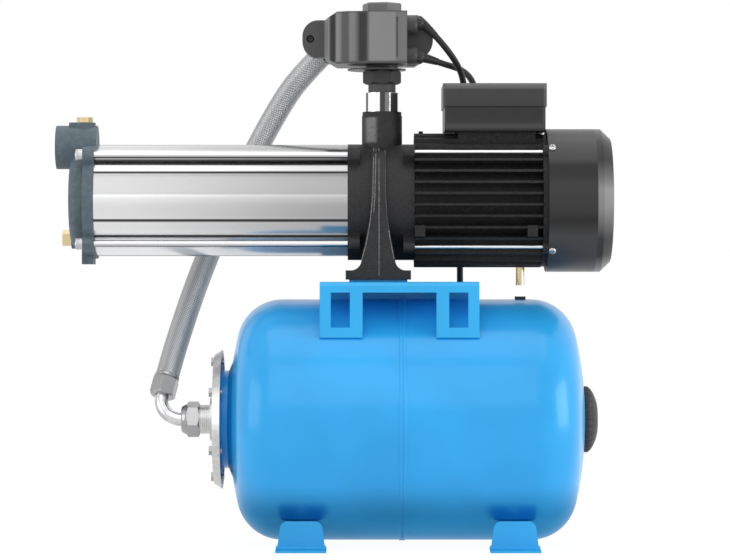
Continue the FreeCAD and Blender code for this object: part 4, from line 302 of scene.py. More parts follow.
class Signal:
    """A shader socket that takes part in sums: an expression adds the Math nodes it needs."""

    def __init__(self, finish, socket):
        self.finish = finish
        self.socket = socket

    def _maths(self, operation, *values):
        return self.finish.node("ShaderNodeMath", {"operation": operation}, values)

    def __add__(self, other):
        return self._maths("ADD", self, other)

    def __sub__(self, other):
        return self._maths("SUBTRACT", self, other)

    def __rsub__(self, other):
        return self._maths("SUBTRACT", other, self)

    def __mul__(self, other):
        return self._maths("MULTIPLY", self, other)

    def __truediv__(self, other):
        return self._maths("DIVIDE", self, other)

    def __pow__(self, other):
        return self._maths("POWER", self, other)

    __radd__ = __add__
    __rmul__ = __mul__

    def wave(self):
        return self._maths("SINE", self)

    def fraction(self):
        return self._maths("FRACT", self)

    def whole(self):
        return self._maths("FLOOR", self)

    def size(self):
        return self._maths("ABSOLUTE", self)

    def over(self, level):
        return self._maths("GREATER_THAN", self, level)

    def most(self, other):
        return self._maths("MAXIMUM", self, other)

    def near(self, level, reach):
        """One at a level, falling to zero at reach away from it."""
        return 1 - (self - level).size().smooth(reach * 0.3, reach)

    def smooth(self, low, high):
        """Zero below low, one above high and an eased slope between."""
        values = {"Value": self, "From Min": low, "From Max": high}
        return self.finish.node("ShaderNodeMapRange", {"interpolation_type": "SMOOTHSTEP"}, values)

    def between(self, low, risen, falling, high):
        """One from risen to falling, easing to zero at low and at high."""
        return self.smooth(low, risen) * (1 - self.smooth(falling, high))

    def off_middle(self):
        """How far the fraction lies from its middle, from zero to one."""
        return (self.fraction() - 0.5).size() * 2


class Shading:
    """A node tree in the making, and the one method that adds its nodes."""

    def __init__(self, tree):
        self.tree = tree

    def node(self, kind, settings, values, output=0):
        """Adds a node: its settings first, then its sockets' values or links."""
        made = self.tree.nodes.new(kind)
        for name, setting in settings.items():
            setattr(made, name, setting)
        pairs = values.items() if isinstance(values, dict) else enumerate(values)
        for socket, value in pairs:
            if isinstance(value, Signal):
                self.tree.links.new(value.socket, made.inputs[socket])
            else:
                made.inputs[socket].default_value = value
        return Signal(self, made.outputs[output])

    def outputs(self, signal, *names):
        """Other outputs of a signal's node."""
        return [Signal(self, signal.socket.node.outputs[name]) for name in names]


class Surface(Shading):
    """The tree of a new material."""

    def __init__(self, name):
        self.material = bpy.data.materials.new(name)
        self.material.use_nodes = True
        super().__init__(self.material.node_tree)
        self.tree.nodes.clear()

    def show(self, shader):
        """Gives the material a shader."""
        output = self.tree.nodes.new("ShaderNodeOutputMaterial")
        self.tree.links.new(shader.socket, output.inputs["Surface"])


class Finish(Surface):
    """A finish in the making: its shader, and methods that add the nodes of its texture."""

    def __init__(self, name, colour, roughness, **shader):
        super().__init__(name)
        values = {socket.replace("_", " "): value for socket, value in shader.items()}
        values.update({"Base Color": (*colour, 1), "Roughness": roughness})
        surface = self.node("ShaderNodeBsdfPrincipled", {}, values)
        self.show(surface)
        self.shader = surface.socket.node
        self.place = self.node("ShaderNodeTexCoord", {}, {}, "Object")

    def parts(self, vector):
        """The three numbers of a vector."""
        return self.outputs(self.node("ShaderNodeSeparateXYZ", {}, [vector]), "X", "Y", "Z")

    def axes(self):
        """The three numbers of a place, in millimetres."""
        values = {"Vector": self.place, "Scale": 1 / MM}
        return self.parts(self.node("ShaderNodeVectorMath", {"operation": "SCALE"}, values))

    def along_map(self):
        """The two numbers of the piece's own map, round it and along it."""
        return self.parts(self.node("ShaderNodeTexCoord", {}, {}, "UV"))[:2]

    def grain(self, scale, detail=3, stretch=(1, 1, 1), rough=0.5):
        """Even noise with the given number of grains in a metre, stretched along an axis."""
        place = self.node("ShaderNodeMapping", {}, {"Vector": self.place, "Scale": stretch})
        values = {"Vector": place, "Scale": scale, "Detail": detail, "Roughness": rough}
        return self.node("ShaderNodeTexNoise", {}, values, "Fac")

    def cells(self, scale):
        """The distance to the nearest of many scattered points."""
        return self.node("ShaderNodeTexVoronoi", {}, {"Vector": self.place, "Scale": scale}, "Distance")

    def tint(self, factor, low, high):
        """A colour that goes from low to high, each a colour or the signal of one."""
        ends = [end if isinstance(end, Signal) else (*end, 1) for end in (low, high)]
        values = {"Factor": factor, "A": ends[0], "B": ends[1]}
        return self.node("ShaderNodeMix", {"data_type": "RGBA"}, values, "Result")

    def steps(self, place, stops):
        """A number that goes through stops, each a place in millimetres and the number there."""
        first, last = stops[0][0], stops[-1][0]
        share = self.node("ShaderNodeMapRange", {}, {"Value": place, "From Min": first, "From Max": last})
        made = self.node("ShaderNodeValToRGB", {}, {"Fac": share})
        ramp = made.socket.node.color_ramp
        for at, number in stops[1:-1]:
            ramp.elements.new((at - first) / (last - first)).color = (number, number, number, 1)
        for end in (0, -1):
            number = stops[end][1]
            ramp.elements[end].color = (number, number, number, 1)
        return made

    def set(self, socket, signal):
        self.tree.links.new(signal.socket, self.shader.inputs[socket])

    def colour(self, factor, low, high):
        """Gives the surface a colour that goes from low to high."""
        self.set("Base Color", self.tint(factor, low, high))

    def relief(self, height, depth, edge=0.0):
        """Raises the surface by up to depth where height is 1, and eases its edges, in millimetres."""
        values = {"Height": height, "Distance": depth * MM, "Strength": 1.0}
        if edge:
            values["Normal"] = self.node("ShaderNodeBevel", {"samples": 6}, {"Radius": edge * MM})
        self.set("Normal", self.node("ShaderNodeBump", {}, values))
        return self.material


def shade(colour, factor):
    """A colour made lighter or darker."""
    return tuple(min(1.0, part * factor) for part in colour)


def gloss_paint(name, colour, painted_shade_heights=None):
    """Baked gloss paint on sheet: faint orange peel, and a slow drift in its tone.

    From one height down to another it may get painted shade: its tone turns darker there, and it turns more
    metallic and less coated.
    """
    finish = Finish(name, colour, 0.3, Coat_Weight=0.3, Coat_Roughness=0.12, Specular_IOR_Level=0.4,
                    Specular_Tint=(0.5, 0.8, 1, 1))
    tone = 0.5 + 0.5 * finish.grain(9, 2)
    finish.set("Roughness", 0.27 + 0.08 * finish.grain(160, 3))
    if painted_shade_heights:
        # Painted shade: darker, more metallic and less coated below the upper height, wholly so below the
        # lower
        depth = 1 - finish.axes()[2].smooth(*painted_shade_heights)
        tone = tone - 0.6 * depth
        finish.set("Metallic", 0.75 * depth)
        finish.set("Coat Weight", 0.3 - 0.3 * depth)
    finish.colour(tone, shade(colour, 0.4), shade(colour, 1.2))
    return finish.relief(finish.grain(420, 2), 0.06, 0.8)


def cast_paint(name, colour, coarse, contrast=0.5, gloss=0.3, depth=0.55):
    """Painted sand casting: coarse lumps, fine pits, and a lighter tone where the lumps rise."""
    finish = Finish(name, colour, 0.5, Specular_IOR_Level=gloss)
    lumps = finish.grain(coarse, 5, rough=0.65)
    pits = finish.cells(900).smooth(0.05, 0.45)
    low, high = shade(colour, 1 - contrast * 0.6), shade(colour, 1 + contrast * 1.4)
    finish.colour(lumps.smooth(0.35, 0.75), low, high)
    finish.set("Roughness", 0.36 + 0.3 * lumps)
    return finish.relief(0.7 * lumps + 0.3 * pits, depth, 1.2)


def bracket_paint(name, colour):
    """The cast bracket: rough paint, with a painted highlight, a lighter glinting patch, on the left of its
    outlet.
    """
    finish = Finish(name, colour, 0.5, Specular_IOR_Level=0.3)
    lumps = finish.grain(240, 5, rough=0.65)
    x, _, z = finish.axes()
    # Painted highlight: a lighter, glinting patch left of the outlet, mottled by noise
    patch = x.near(*PAINTED_GLINT_X) * z.between(*PAINTED_GLINT_Z)
    painted_glint = patch * (0.35 + 0.9 * finish.grain(900, 3, rough=0.8).smooth(0.35, 0.65))
    finish.colour(lumps.smooth(0.35, 0.75) * 0.06 + painted_glint, shade(colour, 0.7), (0.24, 0.24, 0.24))
    finish.set("Roughness", 0.36 + 0.3 * lumps)
    return finish.relief(lumps, 0.5, 1.2)


def box_enamel(name, colour, bands):
    """Pressed and enamelled box with painted light and shade: highlights where its rims bend, by height and
    at both ends.
    """
    finish = Finish(name, colour, 0.4, Specular_IOR_Level=0.35)
    x, _, z = finish.axes()
    # Painted highlights on the rims at both ends, and painted light and shade in bands by height
    left, right = (x.near(*rim) for rim in BOX_RIM_HIGHLIGHTS)
    rim_highlights = left.most(right) * 0.4
    tone = finish.steps(z, bands).most(rim_highlights) + 0.05 * finish.grain(60, 3)
    finish.colour(tone, (0.0, 0.0, 0.0), shade(colour, 3.6))
    finish.set("Roughness", 0.36 + 0.12 * finish.grain(220, 2))
    return finish.relief(finish.cells(1500), 0.04, 0.9)


def moulded(name, colour, roughness=0.45):
    """Moulded plastic with a fine spark texture and a slow change of sheen."""
    finish = Finish(name, colour, roughness, Specular_IOR_Level=0.35)
    finish.colour(finish.grain(60, 3), shade(colour, 0.86), shade(colour, 1.16))
    finish.set("Roughness", roughness - 0.06 + 0.12 * finish.grain(220, 2))
    return finish.relief(finish.cells(1500), 0.05, 0.7)


def controller_shell(name, colour):
    """Moulded nylon with painted light and shade across its front: bands from top to bottom, light and dark
    in turn over its ribs.
    """
    finish = Finish(name, colour, 0.4, Specular_IOR_Level=0.24)
    x, _, z = finish.axes()
    low, high = BODY_LOW / MM, BODY_HIGH / MM
    face = z.between(low, low + 3, high - 2.5, high)
    # Painted highlights and shade: tones in bands by x across the front, plain off it
    tone = finish.steps(x, CONTROLLER_PAINTED_LIGHT) * face + 0.3 * (1 - face) + 0.06 * finish.grain(70, 3)
    finish.colour(tone, (0.0, 0.0, 0.0), colour)
    finish.set("Roughness", 0.34 + 0.14 * finish.grain(220, 2))
    return finish.relief(finish.cells(1500), 0.05, 0.8)


def cover_enamel(name, colour):
    """Enamelled sheet cover with painted light and shade: soft bands of painted highlight and shade along its
    side, and another run of them on its bevelled end.
    """
    finish = Finish(name, colour, 0.34, Specular_IOR_Level=0.3)
    x, _, z = finish.axes()
    rise = z - PUMP_AXIS.z / MM
    bevel = x.between(*BEVEL_X)
    # Painted highlights and shade in bands by height, one run along the side and one on the bevel
    sides = 0.16 * finish.steps(rise, COVER_SIDE_PAINTED_LIGHT) * (1 - bevel)
    tone = sides + finish.steps(rise, COVER_BEVEL_PAINTED_LIGHT) * bevel * 0.9 + 0.01 * finish.grain(60, 3)
    finish.colour(tone, (0.002, 0.002, 0.002), shade(colour, 8))
    finish.set("Roughness", 0.28 + 0.12 * finish.grain(220, 2))
    return finish.relief(finish.grain(520, 2), 0.05, 0.8)


def drawn_sleeve(name, colour):
    """Polished stainless tube, with fine lines round it, and painted reflections: dark lines along it beside
    the tie rods, dark rims at its top and bottom, and a tone that darkens from its left end to its right.

    The band above its middle, where the lamps are mirrored, is toned down with painted shade, and its low
    side is painted lighter and mirrors less.
    """
    finish = Finish(name, colour, 0.18, Metallic=1.0)
    x, _, z = finish.axes()
    rise = z - PUMP_AXIS.z / MM
    # Painted shade on the top and bottom rims, and painted reflections of the tie rods as dark lines
    rim = rise.size().smooth(*SLEEVE_RIM_SHADE)
    dark = rim
    for line in SLEEVE_ROD_REFLECTIONS:
        dark = dark.most(rise.near(*line))
    # Painted reflections: darker away from the middle, in a soft band below it and towards the right end,
    # lighter on the low side; the clouds are random tone
    outside = (rise - SLEEVE_MIDDLE).size().smooth(*SLEEVE_OUTSIDE) * 0.25
    soft = rise.near(*SLEEVE_SOFT_SHADE) * 0.3
    lit = rise.between(*SLEEVE_LAMP_BAND_SHADE)
    low = 1 - rise.smooth(*SLEEVE_LOW)
    clouds = 0.12 * finish.grain(14, 2, (1, 1, 6)) - 0.06
    sheen = x.smooth(*SLEEVE_ENDS) + outside + soft + clouds - low * 0.6
    # Painted shade tones down the band where the lamps are mirrored
    depth = sheen * 0.4 * (1 - 0.56 * lit) + 0.5 * lit + 0.06
    tone = finish.tint(depth, shade(colour, 1.5), (0.0, 0.0, 0.0))
    finish.colour(dark * 0.95, tone, (0.02, 0.02, 0.022))
    finish.set("Metallic", 1 - 0.5 * (1 - rise.smooth(*SLEEVE_DULL)) - 0.4 * rim)
    finish.set("Roughness", 0.14 + 0.08 * finish.grain(70, 3))
    return finish.relief(finish.grain(2600, 2, (1, 0.02, 0.02)), 0.008)


def polished_rods(name, colour):
    """Bright rods, with painted shade on their lower sides."""
    finish = Finish(name, colour, 0.2, Metallic=1.0)
    rise = finish.axes()[2] - PUMP_AXIS.z / MM
    middle = ROD_RING / MM / math.sqrt(2)
    # Painted shade just below the middle of each rod, fainter on the lower rods
    under = (rise - middle).near(*ROD_UNDERSIDE_SHADE).most((rise + middle).near(*ROD_UNDERSIDE_SHADE) * 0.6)
    finish.colour(1 - under, (0.05, 0.05, 0.053), colour)
    finish.set("Roughness", 0.16 + 0.12 * finish.grain(160, 3))
    return finish.relief(finish.grain(1800, 2, (0.05, 1, 1)), 0.01, 0.4)


def adapter_chrome(name, colour):
    """Chrome of the adapter: painted reflections as bright and dark stripes from top to bottom, speckled on
    its right.
    """
    finish = Finish(name, colour, 0.12, Metallic=1.0)
    aside = finish.axes()[0] - PORT_AXIS / MM
    speckle = finish.grain(620, 4, rough=0.8).smooth(0.5, 0.62) * aside.near(*ADAPTER_SPECKLE) * 0.3
    # Painted reflections: stripes by the place across the adapter, with a speckle on the right
    finish.colour(finish.steps(aside, ADAPTER_REFLECTION_STRIPES) + speckle, (0.01, 0.01, 0.01), colour)
    return finish.relief(finish.grain(900, 2), 0.01, 0.5)


def nickel_fitting(name, colour, bright=0.42):
    """Nickel plated fitting: bright and dark streaks, as plating over a forging shows."""
    finish = Finish(name, colour, 0.18, Metallic=1.0)
    streaks = finish.grain(60, 2, (1, 1.3, 0.5), 0.5).smooth(bright - 0.16, bright + 0.16)
    fine = finish.grain(420, 3).smooth(0.3, 0.7)
    finish.colour(0.9 * streaks + 0.1 * fine, shade(colour, 0.5), colour)
    finish.set("Roughness", 0.16 + 0.14 * finish.grain(240, 3))
    return finish.relief(finish.grain(900, 2), 0.02, 0.5)


def turned_metal(name, colour, roughness):
    """Metal from the lathe: fine lines round its axis and slightly duller patches."""
    finish = Finish(name, colour, roughness, Metallic=1.0)
    cut = finish.grain(2600, 2, (1, 0.02, 0.02))
    patches = finish.grain(70, 3)
    finish.set("Roughness", roughness * 0.7 + roughness * 0.6 * patches)
    finish.colour(patches, shade(colour, 0.93), shade(colour, 1.05))
    return finish.relief(cut, 0.012, 0.4)


def zinc_plate(name, colour):
    """Zinc plated sheet: clouded, with a satin sheen and a few dull spots."""
    finish = Finish(name, colour, 0.34, Metallic=1.0)
    clouds = finish.grain(110, 5, rough=0.7)
    finish.colour(clouds.smooth(0.3, 0.7), shade(colour, 0.8), shade(colour, 1.08))
    finish.set("Roughness", 0.24 + 0.24 * clouds)
    return finish.relief(finish.grain(800, 3), 0.03, 0.6)


def wound_copper(name, colour):
    """Enamelled copper windings: strands of 1.2 mm side by side along the motor."""
    finish = Finish(name, colour, 0.35, Metallic=1.0)
    strands = (finish.axes()[0] * (TURN / 1.2)).wave() * 0.5 + 0.5
    finish.colour(strands, shade(colour, 0.5), colour)
    return finish.relief(strands, 0.3)


def stacked_steel(name, colour):
    """A core of steel sheets of 0.5 mm, their edges side by side along X."""
    finish = Finish(name, colour, 0.4, Metallic=0.9)
    sheets = (finish.axes()[0] / 0.5).off_middle()
    finish.colour(sheets.smooth(0.6, 1.0), colour, shade(colour, 0.4))
    return finish.relief(1 - sheets.smooth(0.7, 1.0), 0.05, 0.4)


def cable_rubber(name, colour):
    """Rubber sheath: nearly matte, with a faintly uneven skin and some dust."""
    finish = Finish(name, colour, 0.46, Specular_IOR_Level=0.25)
    dust = finish.grain(300, 4, rough=0.7)
    finish.colour(dust, shade(colour, 0.8), shade(colour, 1.5))
    finish.set("Roughness", 0.4 + 0.16 * dust)
    return finish.relief(finish.grain(900, 2), 0.06)


def board_finish(name, colour):
    """A circuit board: green lacquer with tinned tracks every 3 mm across it and 5 mm up it."""
    finish = Finish(name, colour, 0.3)
    x, _, z = finish.axes()
    tracks = (x / 3).off_middle().over(0.84).most((z / 5).off_middle().over(0.88))
    finish.colour(tracks, colour, (0.5, 0.5, 0.45))
    finish.set("Metallic", tracks * 0.8)
    return finish.relief(tracks, 0.05, 0.3)


def wire_braid(name, colour, carriers, lay):
    """Woven stainless wire, by the hose's own map: u runs once round it, v along it in its girths.

    Two families of strands cross at equal angles. Where the whole parts of both counts add up to an
    even number the first family lies on top, else the second, and each strand is crowned across and
    split into its wires.
    """
    finish = Finish(name, colour, 0.3, Metallic=1.0)
    u, v = finish.along_map()
    first = u * carriers + v * lay
    second = u * carriers - v * lay
    turn = ((first.whole() + second.whole()) * 0.5).fraction().over(0.25)

    def strand(across, along):
        """The height of a strand, from its crown across and its dip where it passes under."""
        crown = 1 - across.off_middle() ** 3.0
        rise = 1 - along.off_middle() ** 2.0
        wires = (across * (TURN * 5)).wave() * 0.12 + 0.88
        return crown * (0.45 + 0.55 * rise) * wires

    height = strand(first, second) * turn + strand(second, first) * (1 - turn)
    # Painted shade where the strands dip and between them, and painted reflections as light and dark streaks
    # along the hose, by the angle round it
    streaks = ((u * TURN * 7).wave() + (u * TURN * 3 + 1.3).wave()) * 0.16 + 0.68
    finish.colour(height.smooth(0.0, 0.7) * streaks, (0.16, 0.16, 0.165), colour)
    finish.set("Roughness", 0.4 - 0.12 * height)
    return finish.relief(height, 0.4)


def mesh_piece(name, skins, body, finish, sharp=35.0, charts=None):
    """One piece from one or more skins, each a pair of points and quads, its faces turned outwards."""
    points = np.concatenate([skin[0] for skin in skins])
    starts = np.cumsum([0] + [len(skin[0]) for skin in skins[:-1]])
    quads = np.concatenate([skin[1] + start for skin, start in zip(skins, starts)])
    mesh = bpy.data.meshes.new(name)
    mesh.from_pydata(points.tolist(), [], quads.tolist())
    if charts is not None:
        layer = mesh.uv_layers.new(name="map")
        layer.data.foreach_set("uv", np.concatenate(charts).astype(np.float32).ravel())
    work = bmesh.new()
    work.from_mesh(mesh)
    bmesh.ops.remove_doubles(work, verts=work.verts, dist=1e-6)
    bmesh.ops.dissolve_degenerate(work, edges=work.edges, dist=1e-7)
    bmesh.ops.recalc_face_normals(work, faces=work.faces)
    work.to_mesh(mesh)
    work.free()
    mesh.shade_smooth()
    mesh.set_sharp_from_angle(angle=math.radians(sharp))
    piece = bpy.data.objects.new(name, mesh)
    bpy.context.scene.collection.objects.link(piece)
    mesh.materials.append(bpy.data.materials[finish])
    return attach(piece, body)


def skin(grid, round_columns=True):
    """The points and quads of a grid of shape rows by columns by 3, closed where its columns run round."""
    rows, columns = grid.shape[:2]
    row = np.arange(rows - 1)
    column = np.arange(columns if round_columns else columns - 1)
    row, column = np.meshgrid(row, column, indexing="ij")
    next_column = (column + 1) % columns
    quads = [row * columns + column, row * columns + next_column,
             (row + 1) * columns + next_column, (row + 1) * columns + column]
    return grid.reshape(-1, 3), np.stack(quads, -1).reshape(-1, 4)


def basis(axis):
    """Three unit arrows: two across an axis and the axis."""
    along = Vector(axis).normalized()
    start = Vector(Z_AXIS) if abs(along.z) < 0.9 else Vector(X_AXIS)
    side = start.cross(along).normalized()
    return np.array(side), np.array(along.cross(side)), np.array(along)


def around(centre, axis, along, radius, steps=96, lead=0.0):
    """A turned skin: each point is the centre, plus along times the axis, plus radius times the arrow
    that turns once round it. Both are arrays of rows, or of rows by steps where the girth varies.
    """
    side, up, way = basis(axis)
    angle = np.linspace(0, TURN, steps, endpoint=False) + lead
    along = np.broadcast_to(np.asarray(along, float).reshape(len(along), -1), (len(along), steps))
    radius = np.asarray(radius, float)
    radius = np.broadcast_to(radius.reshape(len(radius), -1), (len(radius), steps))
    grid = (np.asarray(centre)[None, None]
            + along[..., None] * way
            + (radius * np.cos(angle))[..., None] * side
            + (radius * np.sin(angle))[..., None] * up)
    return skin(grid)


def profile(corners):
    """The places along an axis and the radii of an outline, as two arrays in metres."""
    points = np.array(corners, float) * MM
    return points[:, 0], points[:, 1]


def screw_thread(centre, axis, length, radius, pitch, depth):
    """A thread: the radius falls by depth between crests that climb one pitch in each turn."""
    steps = 60
    rows = np.linspace(0, length, max(8, int(length / pitch * 10)))
    angle = np.linspace(0, TURN, steps, endpoint=False)
    phase = rows[:, None] / pitch - angle[None] / TURN
    valley = np.abs((phase % 1) - 0.5) * 2
    core = np.full((1, steps), radius * 0.7)
    girth = np.concatenate([core, radius - depth * valley, core])
    return around(centre, axis, np.concatenate([[0], rows, [length]]), girth, steps)


def hexagon(flats, angle):
    """The girth of a hexagon at each angle: half its flats over the cosine from the nearest flat."""
    return flats / 2 / np.cos((angle % (TURN / 6)) - TURN / 12)


def hexagon_nut(centre, axis, flats, length, bore, lead=0.0):
    """A hexagonal nut: the girth is the hexagon's, cut by a cone at both ends, round a plain bore."""
    steps = 144
    corner = hexagon(flats, np.linspace(0, TURN, steps, endpoint=False))
    along = np.array(NUT_ROWS) * length
    rise = np.minimum(along, length - along)[:, None]
    cone = flats / 2 * CHAMFER_START + rise * CHAMFER_SLOPE
    inner = np.full((1, steps), bore)
    girth = np.concatenate([inner, np.minimum(corner[None], cone), inner, inner])
    along = np.concatenate([[0], along, [length], [0]])
    return around(centre, axis, along, girth, steps, lead)


def socket_screw(centre, axis, radius, height, flats, depth):
    """A knurled head with a hexagonal socket: up its side, over its edge, then down the socket's walls.

    The side's girth waves a little round it, and the socket's girth is the hexagon's.
    """
    steps = 96
    angle = np.linspace(0, TURN, steps, endpoint=False)
    knurl = radius * (1 + 0.02 * np.cos(angle * 24))
    socket = hexagon(flats, angle)
    row = np.ones(steps)
    girth = np.stack([0 * row, knurl, knurl, radius * 0.88 * row, socket, socket, 0 * row])
    along = [0, 0, height * 0.86, height, height, height - depth, height - depth]
    return around(centre, axis, along, girth, steps)


def cross_screw(centre, axis, radius, height, depth):
    """A low domed head with a crossed recess, whose girth is that of two bars laid across each other."""
    steps = 96
    angle = np.linspace(0, TURN, steps, endpoint=False)
    across, beside = np.abs(np.cos(angle)), np.abs(np.sin(angle))
    arm = radius * 0.62 / np.maximum(across, beside)
    cross = np.minimum(arm, radius * 0.16 / np.maximum(np.minimum(across, beside), 0.01))
    row = np.ones(steps)
    dome = [(0, 0), (0, 1), (0.35, 1), (0.66, 0.93), (0.88, 0.8), (1, 0.66)]
    girth = [radius * out * row for _, out in dome] + [cross, cross * 0.8, 0 * row]
    along = [height * share for share, _ in dome] + [height, height - depth, height - depth]
    return around(centre, axis, along, np.stack(girth), steps)


def on_front(node, places):
    """Where the lines of sight along +Y first meet a node, for places given as x and z."""
    tree = BVHTree.FromObject(frame["nodes"][node], bpy.context.evaluated_depsgraph_get())
    start = CAD_BOX[0].y - SIGHT_MARGIN
    return [tree.ray_cast(Vector((x, start, z)), Vector(Y_AXIS))[0] for x, z in places]


def spline(name, points, radius):
    """A smooth line with the points as its control points, and round if it has a radius."""
    curve = bpy.data.curves.new(name, "CURVE")
    curve.dimensions = "3D"
    curve.bevel_depth = radius
    curve.bevel_resolution = 4
    curve.resolution_u = 6
    curve.use_fill_caps = True
    line = curve.splines.new("NURBS")
    line.points.add(len(points) - 1)
    line.points.foreach_set("co", np.array([(*point, 1) for point in points], np.float32).ravel())
    line.order_u = 3
    line.use_endpoint_u = True
    piece = bpy.data.objects.new(name, curve)
    bpy.context.scene.collection.objects.link(piece)
    return piece


def centre_line(points):
    """The places along a route's smooth line."""
    guide = spline("guide", points, 0)
    depsgraph = bpy.context.evaluated_depsgraph_get()
    mesh = bpy.data.meshes.new_from_object(guide.evaluated_get(depsgraph))
    places = np.zeros(len(mesh.vertices) * 3)
    mesh.vertices.foreach_get("co", places)
    bpy.data.objects.remove(guide)
    bpy.data.meshes.remove(mesh)
    return places.reshape(-1, 3)


def evenly(places, step):
    """The same line with places an even step apart, and how far along it each one is."""
    reach = np.concatenate([[0], np.cumsum(np.linalg.norm(np.diff(places, axis=0), axis=1))])
    at = np.linspace(0, reach[-1], max(2, int(reach[-1] / step)))
    return np.stack([np.interp(at, reach, places[:, i]) for i in range(3)], 1), at


def tube(places, at, radius, steps, girth=1.0):
    """A tube along a line: each point is its place, plus radius times an arrow that turns across the
    line's way. Its chart is once round by u and the length in girths by v.
    """
    ways = np.gradient(places, axis=0)
    ways /= np.linalg.norm(ways, axis=1)[:, None]
    side = np.cross(ways, (0.3, 1.0, 0.2))
    side /= np.linalg.norm(side, axis=1)[:, None]
    up = np.cross(ways, side)
    angle = np.linspace(0, TURN, steps + 1)[None, :, None]
    radii = np.broadcast_to(np.asarray(radius, float).reshape(-1, 1), (len(places), 1))
    turned = np.cos(angle) * side[:, None] + np.sin(angle) * up[:, None]
    points, quads = skin(places[:, None] + radii[..., None] * turned, round_columns=False)
    once_round = np.linspace(0, 1, steps + 1)[None]
    chart = np.stack(np.broadcast_arrays(once_round, (at / girth)[:, None]), -1)
    return (points, quads), chart.reshape(-1, 2)[quads.ravel()]


def slot_finishes(colours):
    """The finish of each of the record's material slots."""
    return {
        "tank_blue": gloss_paint("tank_paint", colours.tank, TANK_PAINTED_SHADE),
        "dark_blue": gloss_paint("neck_paint", colours.neck),
        "frame_blue": gloss_paint("support_paint", colours.support),
        "zinc": zinc_plate("zinc_plate", (0.6, 0.6, 0.59)),
        "rubber": cable_rubber("seal_rubber", (0.025, 0.025, 0.026)),
        "brass": turned_metal("turned_brass", (0.66, 0.54, 0.31), 0.24),
        "black_plastic": moulded("black_nylon", colours.box),
        "white_plastic": moulded("white_acetal", (0.72, 0.72, 0.7), 0.35),
        "grey_plastic": controller_shell("controller_nylon", colours.controller),
        "button_red": moulded("button_red", (0.55, 0.03, 0.025), 0.25),
        "board_green": board_finish("circuit_lacquer", (0.02, 0.16, 0.06)),
        "cast_grey": cast_paint("suction_casting", colours.suction, 120, 0.22, 0.42, 0.2),
        "cast_black": cast_paint("bracket_casting", colours.bracket, 240),
        "motor_black": cast_paint("motor_casting", colours.motor, 420, 0.5, 0.16),
        "cover_black": cover_enamel("cover_paint", colours.cover),
        "polished_steel": polished_rods("polished_rods", (0.6, 0.6, 0.61)),
        "chrome": nickel_fitting("nickel_plate", (0.7, 0.7, 0.71)),
        "carbon": turned_metal("seal_carbon", (0.06, 0.06, 0.065), 0.3),
        "copper": wound_copper("windings", (0.6, 0.26, 0.12)),
        "core_steel": stacked_steel("core_sheets", (0.34, 0.34, 0.35)),
        "braid": zinc_plate("plain_braid", (0.55, 0.56, 0.57)),
        "cable_black": cable_rubber("cable_rubber", colours.cable),
    }


def own_finishes(colours):
    """The finishes of the nodes that differ from the rest of their slot."""
    return {
        "pump_sleeve": drawn_sleeve("drawn_sleeve", (0.58, 0.58, 0.583)),
        "port_adapter": adapter_chrome("adapter_chrome", (0.95, 0.95, 0.95)),
        "outlet_cap": moulded("outlet_nylon", (0.15, 0.15, 0.152), 0.4),
        "motor_tie_rods": turned_metal("motor_rods", (0.75, 0.75, 0.755), 0.35),
        "hose_nuts": nickel_fitting("nut_plate", (0.36, 0.36, 0.365), 0.3),
        "flange_bolts": turned_metal("flange_bolts", (0.36, 0.37, 0.37), 0.32),
        "discharge_casing": bracket_paint("bracket_glint", colours.bracket),
        "terminal_lid": box_enamel("lid_enamel", colours.box, LID_PAINTED_LIGHT),
        "terminal_box": box_enamel("box_enamel", colours.box, BOX_PAINTED_LIGHT),
        "controller_cover": moulded("rear_nylon", shade(colours.controller, 0.25)),
    }


class FinishOperator(Operator):
    """Gives every piece of the frame its finish"""
    bl_idname = "booster.finishes"
    bl_label = "Finishes"

    def execute(self, context):
        colours = context.scene.booster_colours
        finishes = slot_finishes(colours)
        own = own_finishes(colours)
        # Finishes that the new pieces take by name
        turned_metal("screw_steel", (0.5, 0.5, 0.51), 0.28)
        # Lighter ridges of the bracket: worn paint, and painted highlights along its edges
        cast_paint("worn_and_highlit_casting", (0.17, 0.17, 0.172), 700, 0.8)

        slots = {entry["node"]: entry["material_slot"] for entry in frame["record"]["subparts"]}
        for node, thing in frame["nodes"].items():
            thing.data.materials.clear()
            thing.data.materials.append(own.get(node) or finishes[slots[node]])
        return {"FINISHED"}


def cord_points(sizes):
    """The mains cord's points: its route, its coil of two lanes in two layers, and its tail."""
    middle = centre_of("mains_coil")
    radius = sizes.cable / 2
    share = np.linspace(0, 1, int((COIL_START - COIL_END) / 360 * COIL_POINTS) + 1)
    angle = np.radians(COIL_START + share * (COIL_END - COIL_START))
    reach = sizes.coil + np.interp(share, *COIL_LANES) * radius
    height = np.interp(share, *COIL_HEIGHTS) * radius
    coil = np.stack([middle.x + reach * np.cos(angle), middle.y + reach * np.sin(angle), height], 1)
    return CORD_ROUTE + coil.tolist() + TAIL_ROUTE


class CordOperator(Operator):
    """Lays the mains cord with its coil behind the tank, and the motor's lead"""
    bl_idname = "booster.cords"
    bl_label = "Cords"

    def execute(self, context):
        sizes = context.scene.booster_sizes
        radius = sizes.cable / 2
        points = cord_points(sizes)
        cord = spline("mains_flex", points, radius)
        cord.data.materials.append(bpy.data.materials["cable_rubber"])
        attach(cord, "station")
        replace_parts(cord, "mains_cord", "mains_coil")
        length = float(np.linalg.norm(np.diff(centre_line(points), axis=0), axis=1).sum())
        print("mains cord length", round(length, 3))

        line, at = evenly(centre_line(LEAD_ROUTE), LEAD_STEP)
        flex, chart = tube(line, at, radius, LEAD_SIDES, TURN * radius)
        lead = mesh_piece("motor_flex", [flex], "station", "cable_rubber", charts=[chart])
        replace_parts(lead, "motor_lead")
        return {"FINISHED"}


